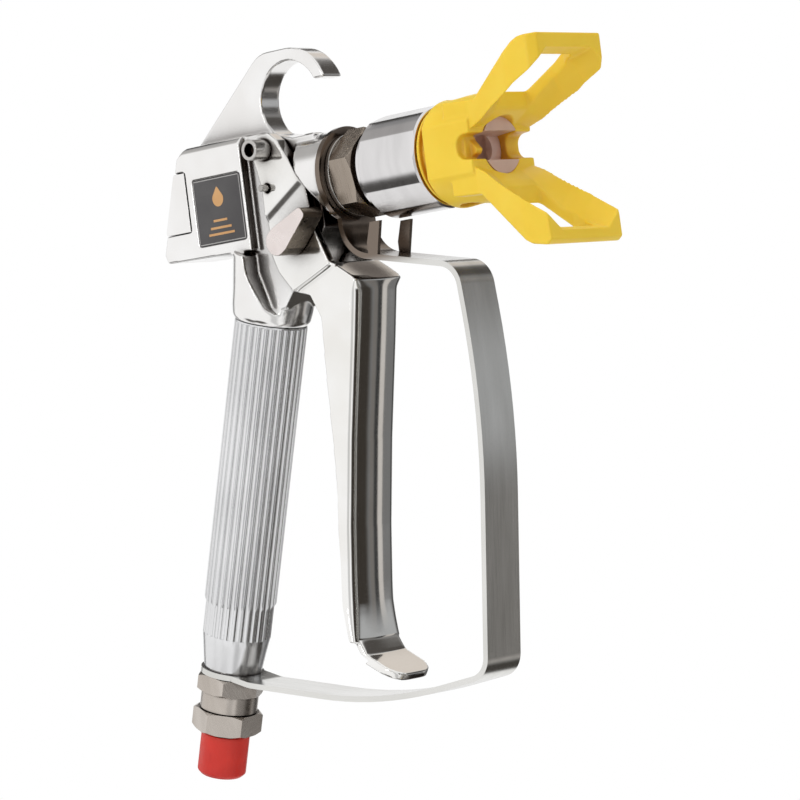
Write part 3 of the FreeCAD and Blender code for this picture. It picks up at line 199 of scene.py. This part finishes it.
def finish_surface(kit, principled, color, roughness, height, distance, strength):
    """Joins colour, roughness and bump height to the shader."""
    links = kit.tree.links
    links.new(color, principled.inputs["Base Color"])
    links.new(roughness, principled.inputs["Roughness"])
    bump = kit.add("ShaderNodeBump", {"Height": height, "Distance": distance, "Strength": strength})
    links.new(bump.outputs["Normal"], principled.inputs["Normal"])


def place(kit):
    return kit.add("ShaderNodeTexCoord").outputs["Object"]


def in_corners(kit, color, dark, reach, low=0.4, high=0.9):
    """Paints shade into a colour in corners and gaps, where little light comes in."""
    open_sky = kit.add("ShaderNodeAmbientOcclusion", {"Distance": reach * MM}, samples=8).outputs["AO"]
    return kit.mix(kit.spread(open_sky, low, high, 0.0, 1.0, True), dark, color)


def shaded_above(kit, where, color, dark, level):
    """Paints shade into a colour: it turns to a darker one above a height in metres."""
    height = kit.add("ShaderNodeSeparateXYZ", {0: where}).outputs["Z"]
    return kit.mix(kit.spread(height, level - 3 * MM, level + 3 * MM, 0.0, 1.0, True), color, dark)


def plated(name, bright, shade, rough_low, rough_high, wave):
    """Polished nickel-chrome over a casting: soft waves, fine wipe marks, faint pits, and painted shade in
    corners.
    """
    made, kit, principled = material(name, Metallic=1.0)
    where = place(kit)
    broad = kit.noise(where, 55.0, 2.0)
    fine = kit.noise(where, 900.0, 5.0, 0.6)
    wipes = kit.noise(kit.stretched(where, (1.0, 1.0, 9.0)), 420.0, 3.0, 0.6)
    color = kit.mix(kit.spread(broad, 0.35, 0.7), bright, shade)
    roughness = kit.math("ADD", kit.spread(wipes, 0.3, 0.75, rough_low, rough_high),
                         kit.spread(fine, 0.55, 0.8, 0.0, 0.025))
    height = kit.math("ADD", broad, kit.math("MULTIPLY", fine, 0.02))
    # painted shade: corners and gaps turn dark brown
    color = in_corners(kit, color, CORNER_SHADE, 12.0, 0.45, 0.97)
    finish_surface(kit, principled, color, roughness, height, wave, 0.5)
    return made


def turned_metal(name, bright, shade, rough_low, rough_high, lines=2600.0, depth=0.00002,
                 grain=(1.0, 0.08, 0.08), dark=None, shade_above=None):
    """Satin metal with fine tool lines and uneven tone; the lines run where the grain is small."""
    made, kit, principled = material(name, Metallic=1.0)
    where = place(kit)
    broad = kit.noise(kit.stretched(where, tuple(max(0.2, size) for size in grain)), 130.0, 3.0)
    tool = kit.noise(kit.stretched(where, grain), lines, 3.0, 0.7)
    grit = kit.noise(where, 2400.0, 2.0)
    color = kit.mix(kit.spread(broad, 0.3, 0.72), bright, shade)
    roughness = kit.spread(tool, 0.25, 0.75, rough_low, rough_high)
    height = kit.math("ADD", tool, kit.math("MULTIPLY", grit, 0.5))
    # painted shade: above the given height the colour turns darker
    if shade_above:
        color = shaded_above(kit, where, color, *shade_above)
    # painted shade: corners and gaps turn to the dark colour
    if dark:
        color = in_corners(kit, color, dark, 5.0)
    finish_surface(kit, principled, color, roughness, height, depth, 0.6)
    return made


def moulded(name, color_a, color_b, rough_low, rough_high, grain=0.00004, dark=None, away_shade=None, **shader):
    """Moulded plastic or rubber, or a casting: fine texture, slow colour change.

    Painted shade: corners turn to the dark colour, and all but the near side to the darker colour given for
    the far sides.
    """
    made, kit, principled = material(name, **shader)
    where = place(kit)
    broad = kit.noise(where, 70.0, 3.0)
    skin = kit.noise(where, 1900.0, 4.0, 0.6)
    color = kit.mix(kit.spread(broad, 0.3, 0.7), color_a, color_b)
    roughness = kit.spread(kit.noise(where, 300.0, 4.0), 0.3, 0.7, rough_low, rough_high)
    if dark:
        # painted shade in corners and gaps
        color = in_corners(kit, color, dark, 14.0, 0.3, 0.95)
    # painted shade: faces not turned to the near side take the darker colour
    if away_shade:
        outward = kit.add("ShaderNodeSeparateXYZ", {0: kit.add("ShaderNodeTexCoord").outputs["Normal"]})
        color = kit.mix(kit.spread(outward.outputs["Y"], -0.95, -0.8, 0.0, 1.0, True), color, away_shade)
    finish_surface(kit, principled, color, roughness, skin, grain, 0.5)
    return made


# painted shade: the dark brown that metal corners and gaps turn to
CORNER_SHADE = rgb(62, 52, 46)
chrome = plated("polished_plate", rgb(250, 249, 248), rgb(243, 241, 239), 0.12, 0.2, 0.00008)
trigger_chrome = plated("polished_trigger", rgb(249, 248, 246), rgb(242, 240, 236), 0.06, 0.12, 0.00004)
# nickel, hex_nickel and screw_metal take painted shade in their corners and gaps
nickel = turned_metal("satin_nickel", rgb(206, 198, 190), rgb(184, 175, 166), 0.2, 0.32, dark=CORNER_SHADE)
hex_nickel = turned_metal("worn_hexagon", rgb(176, 164, 152), rgb(150, 138, 126), 0.2, 0.32, dark=CORNER_SHADE)
nut_metal = turned_metal("turned_nut", rgb(232, 230, 230), rgb(214, 212, 212), 0.12, 0.2, 3200.0)
screw_metal = turned_metal("socket_screw", rgb(212, 209, 206), rgb(192, 189, 186), 0.16, 0.26, dark=CORNER_SHADE)
aluminium = turned_metal("fluted_aluminium", rgb(240, 240, 241), rgb(222, 222, 223), 0.16, 0.26, 1800.0,
                         0.00001, (0.03, 1.0, 0.03))
# painted shade: the strap's corners darken, and above a height of -32 mm it turns darker brown
strap_steel = turned_metal("strap_steel", rgb(232, 231, 228), rgb(218, 217, 213), 0.16, 0.24, 1500.0,
                           0.00001, (0.02, 1.0, 0.02), CORNER_SHADE, (rgb(128, 116, 106), -0.032))
steel = turned_metal("ground_steel", rgb(200, 198, 194), rgb(165, 162, 158), 0.2, 0.34)
carbide = turned_metal("carbide", rgb(120, 120, 122), rgb(95, 95, 97), 0.25, 0.4)
brass = turned_metal("brass", rgb(214, 178, 106), rgb(188, 150, 82), 0.2, 0.36)
# painted shade: the lever's faces other than its near side are given a dark warm grey
lever_cast = moulded("cast_lever", rgb(250, 241, 238), rgb(228, 217, 213), 0.24, 0.34, 0.00012,
                     away_shade=rgb(128, 118, 106), Metallic=1.0)
# painted shade: the guard's corners and gaps turn orange-brown
yellow = moulded("guard_yellow", rgb(240, 205, 60), rgb(235, 197, 48), 0.3, 0.42, 0.00003,
                 rgb(205, 142, 24), Subsurface_Weight=0.12, Subsurface_Scale=0.004, Specular_IOR_Level=0.45)
red = moulded("cap_red", rgb(214, 46, 30), rgb(196, 36, 24), 0.34, 0.48, 0.00004,
              Subsurface_Weight=0.1, Subsurface_Scale=0.003)
core_metal = moulded("sintered_core", rgb(224, 196, 184), rgb(206, 178, 166), 0.4, 0.52, 0.00005,
                     Metallic=0.3)
label_face = moulded("label_face", rgb(74, 72, 72), rgb(62, 60, 61), 0.3, 0.42, 0.00001)
label_gold = moulded("label_gold", rgb(206, 160, 108), rgb(190, 142, 92), 0.35, 0.5, 0.00001, Metallic=0.3)
label_rim = moulded("label_rim", rgb(176, 174, 172), rgb(160, 158, 156), 0.3, 0.4, 0.00001, Metallic=0.4)
white_seal = moulded("white_polymer", rgb(226, 224, 216), rgb(212, 208, 198), 0.4, 0.55)
black_rubber = moulded("black_rubber", rgb(34, 34, 35), rgb(26, 26, 27), 0.5, 0.65, 0.00006)


def mesh_screen():
    """Fine woven wire, as fine ridges across the screen."""
    made, kit, principled = material("woven_screen", Metallic=1.0)
    wires = kit.add("ShaderNodeTexWave", {"Vector": place(kit), "Scale": 900.0, "Distortion": 0.4},
                    bands_direction="Z").outputs["Fac"]
    color = kit.mix(wires, rgb(120, 118, 112), rgb(206, 204, 198))
    finish_surface(kit, principled, color, kit.spread(wires, 0.0, 1.0, 0.5, 0.28), wires, 0.0001, 0.8)
    return made


screen_wire = mesh_screen()


# ---------------------------------------------------------------- mesh helpers
def new_object(name, mesh, look):
    made = bpy.data.objects.new(name, mesh)
    bpy.context.scene.collection.objects.link(made)
    mesh.materials.clear()
    mesh.materials.append(look)
    return made


def apply_modifiers(made):
    graph = bpy.context.evaluated_depsgraph_get()
    mesh = bpy.data.meshes.new_from_object(made.evaluated_get(graph))
    made.modifiers.clear()
    made.data = mesh
    return made


def shade(made, angle):
    mesh = made.data
    mesh.polygons.foreach_set("use_smooth", [True] * len(mesh.polygons))
    mesh.set_sharp_from_angle(angle=math.radians(angle))
    return made


def clean_copy(node, look):
    """A copy of a CAD node's mesh with its flat areas merged."""
    mesh = NODES[node].data.copy()
    work = bmesh.new()
    work.from_mesh(mesh)
    bmesh.ops.remove_doubles(work, verts=work.verts, dist=2e-6)
    bmesh.ops.dissolve_limit(work, angle_limit=math.radians(0.4), verts=work.verts, edges=work.edges)
    bmesh.ops.recalc_face_normals(work, faces=work.faces)
    work.to_mesh(mesh)
    work.free()
    return new_object(f"{node}_look", mesh, look)


def stands_for(made, node):
    """Lets a piece move with a CAD node's body and take that node's place."""
    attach(made, BODY_OF[node])
    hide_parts(node)


def bevelled(node, look, width, segments=3, angle=30.0):
    """A CAD node with its sharp edges rounded."""
    made = clean_copy(node, look)
    bevel = made.modifiers.new("rounds", "BEVEL")
    bevel.width = width * MM
    bevel.segments = segments
    bevel.limit_method = "ANGLE"
    bevel.angle_limit = math.radians(angle)
    apply_modifiers(made)
    shade(made, 40.0)
    weigh = made.modifiers.new("flat_first", "WEIGHTED_NORMAL")
    weigh.keep_sharp = True
    apply_modifiers(made)
    stands_for(made, node)


def skin_over(made, voxel):
    """Adds a step that turns a mesh into one closed skin."""
    skin = made.modifiers.new("skin", "REMESH")
    skin.mode = "VOXEL"
    skin.voxel_size = voxel * MM


def soften(made, rounds, keep):
    """Smooths a skin's corners, thins its mesh and shades it as a casting."""
    soft = made.modifiers.new("soft", "SMOOTH")
    soft.factor = 0.5
    soft.iterations = rounds
    thin = made.modifiers.new("fewer", "DECIMATE")
    thin.ratio = keep
    apply_modifiers(made)
    shade(made, 60.0)


def melted(node, look, voxel, rounds, keep):
    """A CAD node as a casting: one skin whose inner and outer corners are softened."""
    made = clean_copy(node, look)
    skin_over(made, voxel)
    soften(made, rounds, keep)
    stands_for(made, node)


def ramp(value, start, length):
    """From 0 at the start to 1 at a length past it, and level outside."""
    return min(1.0, max(0.0, (value - start) / length))


def above_line(point, line):
    """How far a point is above a sloping line on the gun's side, in mm."""
    (x, z), slope = line
    lean = math.radians(slope)
    return (point.z / MM - z) * math.cos(lean) - (point.x / MM - x) * math.sin(lean)


def past_line(point, line):
    """From 0 below the line to 1 above it, across the slanted face of a joggle."""
    return ramp(above_line(point, line), -JOGGLE_WIDTH / 2, JOGGLE_WIDTH)


def front_by_level(points):
    """How far forward the middle of the trigger reaches, for each mm of height."""
    front = {}
    for point in points:
        if abs(point.co.y) < BLADE_MIDDLE * MM:
            level = round(point.co.z / MM)
            front[level] = max(front.get(level, -1.0), point.co.x)
    return front


def crown_blade(points, top, low):
    """Crowns the blade's face, rolls its edges over and lets its side walls die away at the toe."""
    front = front_by_level(points)
    for point in points:
        level = round(point.co.z / MM)
        if point.co.z > top or level not in front:
            continue
        depth = (front[level] - point.co.x) / MM
        side = abs(point.co.y) / MM
        fade = ramp(top - point.co.z, 0.0, CROWN_FADE_TOP * MM)
        fade *= ramp(point.co.z - low, TOE_HEIGHT * MM, CROWN_FADE_TOE * MM)
        past = min(ROLL_RADIUS, max(0.0, side - (BLADE_HALF - ROLL_RADIUS)))
        roll = ROLL_RADIUS - math.sqrt(ROLL_RADIUS ** 2 - past ** 2)
        near = max(0.0, 1.0 - depth / CROWN_DEPTH)
        back = CROWN * (side / BLADE_HALF) ** 2 + ROLL_SHARE * roll
        point.co.x -= back * fade * near * MM
        tail = ramp(low + TAIL_HEIGHT * MM - point.co.z, 0.0, TAIL_LENGTH * MM)
        if point.co.z > low + TAIL_FOOT * MM and depth > WALL_LEFT:
            point.co.x += (depth - WALL_LEFT) * WALL_SHARE * tail * MM


def step_ears(points, low):
    """Eases the blade's lower bend, and steps the trigger's sides out across the two joggles."""
    for point in points:
        near_bend = max(0.0, 1.0 - abs(point.co.z - low - BEND_HEIGHT * MM) / (BEND_REACH * MM))
        point.co.x += BEND_FILL * near_bend ** 2 * MM
        outside = ramp(abs(point.co.y) / MM, EAR_SIDE, EAR_FADE)
        raised = HIGH_STEP * past_line(point.co, HIGH_JOGGLE) + LOW_STEP * past_line(point.co, LOW_JOGGLE)
        modelled = LOW_STEP if above_line(point.co, LOW_JOGGLE) > 0 else LOW_STEP - SOLID_STEP
        point.co.y += math.copysign((raised - modelled) * outside * MM, point.co.y)


def pressed_trigger():
    """The trigger as a pressing, with a crowned blade and joggled sides."""
    made = clean_copy("trigger", trigger_chrome)
    skin_over(made, voxel=0.4)
    apply_modifiers(made)
    points = made.data.vertices
    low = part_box("trigger")[0][2]
    crown_blade(points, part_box("trigger_pivot_screw")[0][2] - BLADE_TOP * MM, low)
    step_ears(points, low)
    soften(made, rounds=12, keep=0.35)
    stands_for(made, "trigger")


def paint(node, look):
    """A CAD node that stays, in a better material."""
    mesh = NODES[node].data
    if not mesh.materials:
        mesh.materials.append(look)
    for slot in NODES[node].material_slots:
        slot.material = look


def flat_shape(name, outline, depth, look, matrix, bevel=0.0):
    """A thin plate from a closed outline in mm, thickened along its own Z."""
    work = bmesh.new()
    face = work.faces.new([work.verts.new((x * MM, y * MM, 0)) for x, y in outline])
    lifted = bmesh.ops.extrude_face_region(work, geom=[face])
    for item in lifted["geom"]:
        if isinstance(item, bmesh.types.BMVert):
            item.co.z += depth * MM
    bmesh.ops.recalc_face_normals(work, faces=work.faces)
    mesh = bpy.data.meshes.new(name)
    work.to_mesh(mesh)
    work.free()
    mesh.transform(matrix)
    made = new_object(name, mesh, look)
    if bevel:
        rounding = made.modifiers.new("rounds", "BEVEL")
        rounding.width = bevel * MM
        rounding.segments = 2
        rounding.limit_method = "ANGLE"
        rounding.angle_limit = math.radians(40)
        apply_modifiers(made)
    shade(made, 35)
    return made


# ---------------------------------------------------------------- castings
melted("gun_body", chrome, voxel=0.36, rounds=18, keep=0.4)
melted("tip_guard", yellow, voxel=0.26, rounds=26, keep=0.5)
pressed_trigger()
melted("lock_lever", lever_cast, voxel=0.22, rounds=4, keep=0.6)
bevelled("rear_cap", chrome, 0.7)

# ---------------------------------------------------------------- turned parts
bevelled("guard_nut", nut_metal, 0.5)
bevelled("diffuser_hex", hex_nickel, 0.4)
bevelled("guard_core", core_metal, 0.4)
bevelled("barrel_washer", steel, 0.25, 2)
bevelled("trigger_guard_strap", strap_steel, 0.35, 2, 40.0)
bevelled("handle_tube", aluminium, 0.12, 1, 50.0)
bevelled("swivel_body", nickel, 0.35)
bevelled("swivel_stem", nickel, 0.35)
bevelled("protective_cap", red, 0.9, 4, 40.0)
bevelled("trigger_pivot_screw", screw_metal, 0.35)
bevelled("trigger_pivot_nut", steel, 0.3)
bevelled("actuating_pin", steel, 0.3)
bevelled("rear_cap_screws", steel, 0.25)

for node, look in (
        ("trigger_bushes", hex_nickel), ("lock_lever_pin", steel), ("lock_detent_ball", steel),
        ("needle_rod", steel), ("needle_ball", carbide), ("carbide_seat", carbide),
        ("seat_gasket", white_seal), ("packing_seals", white_seal), ("packing_nut", brass),
        ("spring_seat", brass), ("needle_spring", steel), ("core_seal", white_seal),
        ("handle_gasket", white_seal), ("filter_screen", screen_wire), ("filter_ends", white_seal),
        ("filter_spring", steel), ("swivel_oring", black_rubber), ("swivel_snap_ring", steel)):
    paint(node, look)


# ---------------------------------------------------------------- label
def bar_at(name, across, up, half_wide, half_tall, look, top):
    """A thin printed bar on the label, which rides on the gun."""
    corners = [(across + x * half_wide, up + y * half_tall) for x, y in ((-1, -1), (1, -1), (1, 1), (-1, 1))]
    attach(flat_shape(name, corners, PRINT_THICK, look, top), "gun")


def label():
    """A dark plate with a thin rim, a drop and three bars: a plain sign for paint, with no words."""
    low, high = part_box("label_plate")
    middle = (Vector(low) + Vector(high)) / 2
    half = (high[0] - low[0]) / MM / 2
    upright = Matrix.Rotation(math.radians(90), 4, "X")
    face = Matrix.Translation(Vector((middle[0], high[1], middle[2]))) @ upright
    square = [(-half, -half), (half, -half), (half, half), (-half, half)]
    thick = (high[1] - low[1]) / MM - PRINT_SINK
    plate = flat_shape("label_plate_look", square, thick, label_face, face, 0.15)
    stands_for(plate, "label_plate")
    top = Matrix.Translation(Vector((middle[0], low[1] + PRINT_SINK * MM, middle[2]))) @ upright
    outer = half - RIM_INSET
    edge = outer - RIM_HALF
    for number, (across, up, wide, tall) in enumerate((
            (0, edge, outer, RIM_HALF), (0, -edge, outer, RIM_HALF),
            (-edge, 0, RIM_HALF, outer), (edge, 0, RIM_HALF, outer))):
        bar_at(f"label_rim_{number}", across, up, wide, tall, label_rim, top)
    drop = []
    for step in range(DROP_STEPS):
        turn = 2 * math.pi * step / DROP_STEPS
        upper = max(0.0, math.sin(turn))
        reach = DROP_HALF_TALL * (1 + DROP_POINT * upper ** 5)
        drop.append((math.cos(turn) * DROP_HALF_WIDE * (1 - DROP_PINCH * upper ** 2),
                     DROP_HEIGHT + math.sin(turn) * reach))
    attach(flat_shape("label_drop", drop, PRINT_THICK, label_gold, top), "gun")
    for number, (up, wide) in enumerate(STRIPES):
        bar_at(f"label_stripe_{number}", 0, up, wide, STRIPE_HALF, label_gold, top)


label()

# ---------------------------------------------------------------- camera, light and floor
def add_camera():
    """The camera, turned by its azimuth, elevation and roll."""
    flat = math.cos(CAMERA_ELEVATION)
    back = Vector((math.sin(CAMERA_AZIMUTH) * flat, -math.cos(CAMERA_AZIMUTH) * flat,
                   math.sin(CAMERA_ELEVATION)))
    flat_right = Vector((math.cos(CAMERA_AZIMUTH), math.sin(CAMERA_AZIMUTH), 0))
    flat_up = back.cross(flat_right)
    right = flat_right * math.cos(CAMERA_ROLL) - flat_up * math.sin(CAMERA_ROLL)
    up = flat_right * math.sin(CAMERA_ROLL) + flat_up * math.cos(CAMERA_ROLL)
    data = bpy.data.cameras.new("camera")
    data.sensor_width = 36.0
    data.lens = CAMERA_LENS
    data.clip_end = 20.0
    camera = bpy.data.objects.new("camera", data)
    bpy.context.scene.collection.objects.link(camera)
    turn = Matrix((right, up, back)).transposed().to_4x4()
    camera.matrix_world = Matrix.Translation(Vector(CAMERA_AT)) @ turn
    bpy.context.scene.camera = camera
    bpy.context.scene.view_settings.view_transform = "Standard"


add_camera()


def studio_world():
    """White to the camera; a soft studio with dark and grey flags for glossy rays."""
    world = bpy.data.worlds.new("studio")
    bpy.context.scene.world = world
    world.use_nodes = True
    kit = Nodes(world.node_tree)
    background = world.node_tree.nodes["Background"]
    way = kit.add("ShaderNodeTexCoord").outputs["Generated"]
    parts = kit.add("ShaderNodeSeparateXYZ", {0: way}).outputs
    height = parts["Z"]
    level = kit.add("ShaderNodeVectorMath", {0: kit.add("ShaderNodeCombineXYZ", {
        "X": parts["X"], "Y": parts["Y"], "Z": 0.0}).outputs[0]}, operation="NORMALIZE").outputs["Vector"]

    def cosine(vector, direction):
        aim = tuple(Vector(direction).normalized())
        return kit.add("ShaderNodeVectorMath", {0: vector, 1: aim}, operation="DOT_PRODUCT").outputs["Value"]

    def spot(direction, near, far):
        return kit.spread(cosine(way, direction), math.cos(math.radians(far)),
                          math.cos(math.radians(near)), 0.0, 1.0, True)

    def band(azimuth, near, far):
        aim = (math.cos(math.radians(azimuth)), math.sin(math.radians(azimuth)), 0)
        return kit.spread(cosine(level, aim), math.cos(math.radians(far)), math.cos(math.radians(near)),
                          0.0, 1.0, True)

    def between(low, high, soft):
        rise = kit.spread(height, low - soft, low + soft, 0.0, 1.0, True)
        fall = kit.spread(height, high - soft, high + soft, 1.0, 0.0, True)
        return kit.math("MULTIPLY", rise, fall)

    def grey(value, warm=0.0):
        return (value * (1 + warm), value, value * (1 - warm), 1)

    def card(amount, value, warm=0.0):
        return kit.mix(amount, tone, grey(value, warm))

    def both(first, second):
        return kit.math("MULTIPLY", first, second)

    tone = grey(0.95)
    tone = card(band(-48, 5, 16), 0.6)  # a grey strip on the camera's side
    for azimuth, near, far, low, high, soft, value, warm in FLAGS:
        tone = card(both(band(azimuth, near, far), between(low, high, soft)), value, warm)
    for direction, near, far, value, warm in ROUND_FLAGS:
        tone = card(spot(direction, near, far), value, warm)
    tone = card(band(164, 4, 10), 0.3)  # a darker one behind the gun
    paths = kit.add("ShaderNodeLightPath")
    seen = kit.mix(paths.outputs["Is Glossy Ray"], (0.55, 0.55, 0.56, 1), tone)
    color = kit.mix(paths.outputs["Is Camera Ray"], seen, (1, 1, 1, 1))
    world.node_tree.links.new(color, background.inputs["Color"])
    background.inputs["Strength"].default_value = 1.0


studio_world()


def lamp(name, place_at, size, power, gloss=True):
    """A rectangular lamp that is turned to the gun's middle."""
    data = bpy.data.lights.new(name, "AREA")
    data.shape = "RECTANGLE"
    data.size, data.size_y = size
    data.energy = power
    made = bpy.data.objects.new(name, data)
    bpy.context.scene.collection.objects.link(made)
    made.visible_glossy = gloss
    spot = Vector(place_at)
    aimed = (Vector(MIDDLE) - spot).to_track_quat("-Z", "Y").to_matrix().to_4x4()
    made.matrix_world = Matrix.Translation(spot) @ aimed


lamp("key", (-0.35, -0.95, 0.55), (0.7, 0.9), 5.0, gloss=False)
lamp("top", (0.1, 0.1, 1.1), (0.9, 0.9), 4.0, gloss=False)
lamp("side", (0.95, 0.35, 0.35), (0.35, 0.8), 1.5, gloss=False)
lamp("streak", (0.2, -1.3, 0.3), (0.06, 0.9), 1.2)


def floor():
    """A white table: the object's shadow falls near it, and further out it is the background's white."""
    level = cad_box[0][2] - FLOOR_DROP * MM
    corners = [(x * FLOOR_HALF, y * FLOOR_HALF, level) for x, y in ((-1, -1), (1, -1), (1, 1), (-1, 1))]
    mesh = bpy.data.meshes.new("floor")
    mesh.from_pydata(corners, [], [(0, 1, 2, 3)])
    made, kit, principled = material("pale_floor", Roughness=0.9)
    where = place(kit)
    grain = kit.noise(where, 12.0, 3.0)
    pale = kit.mix(kit.spread(grain, 0.3, 0.7), (0.9, 0.9, 0.9, 1), (0.93, 0.93, 0.93, 1))
    kit.tree.links.new(pale, principled.inputs["Base Color"])
    gone = kit.add("ShaderNodeVectorMath", {0: where, 1: MIDDLE}, operation="DISTANCE").outputs["Value"]
    paths = kit.add("ShaderNodeLightPath")
    seen = kit.math("MAXIMUM", paths.outputs["Is Camera Ray"], paths.outputs["Is Transmission Ray"])
    shown = kit.math("MULTIPLY", seen, kit.spread(gone, *FLOOR_WHITE, 0.5, 1.0, True))
    glow = kit.add("ShaderNodeEmission", {"Color": (1, 1, 1, 1), "Strength": 1.0})
    clear = kit.add("ShaderNodeBsdfTransparent")
    blend = kit.add("ShaderNodeMixShader", {0: shown, 1: principled.outputs[0], 2: glow.outputs[0]})
    mirrored = kit.add("ShaderNodeMixShader", {0: paths.outputs["Is Glossy Ray"], 1: blend.outputs[0],
                                               2: clear.outputs[0]})
    kit.tree.links.new(mirrored.outputs[0], kit.tree.nodes["Material Output"].inputs["Surface"])
    new_object("floor", mesh, made)


floor()
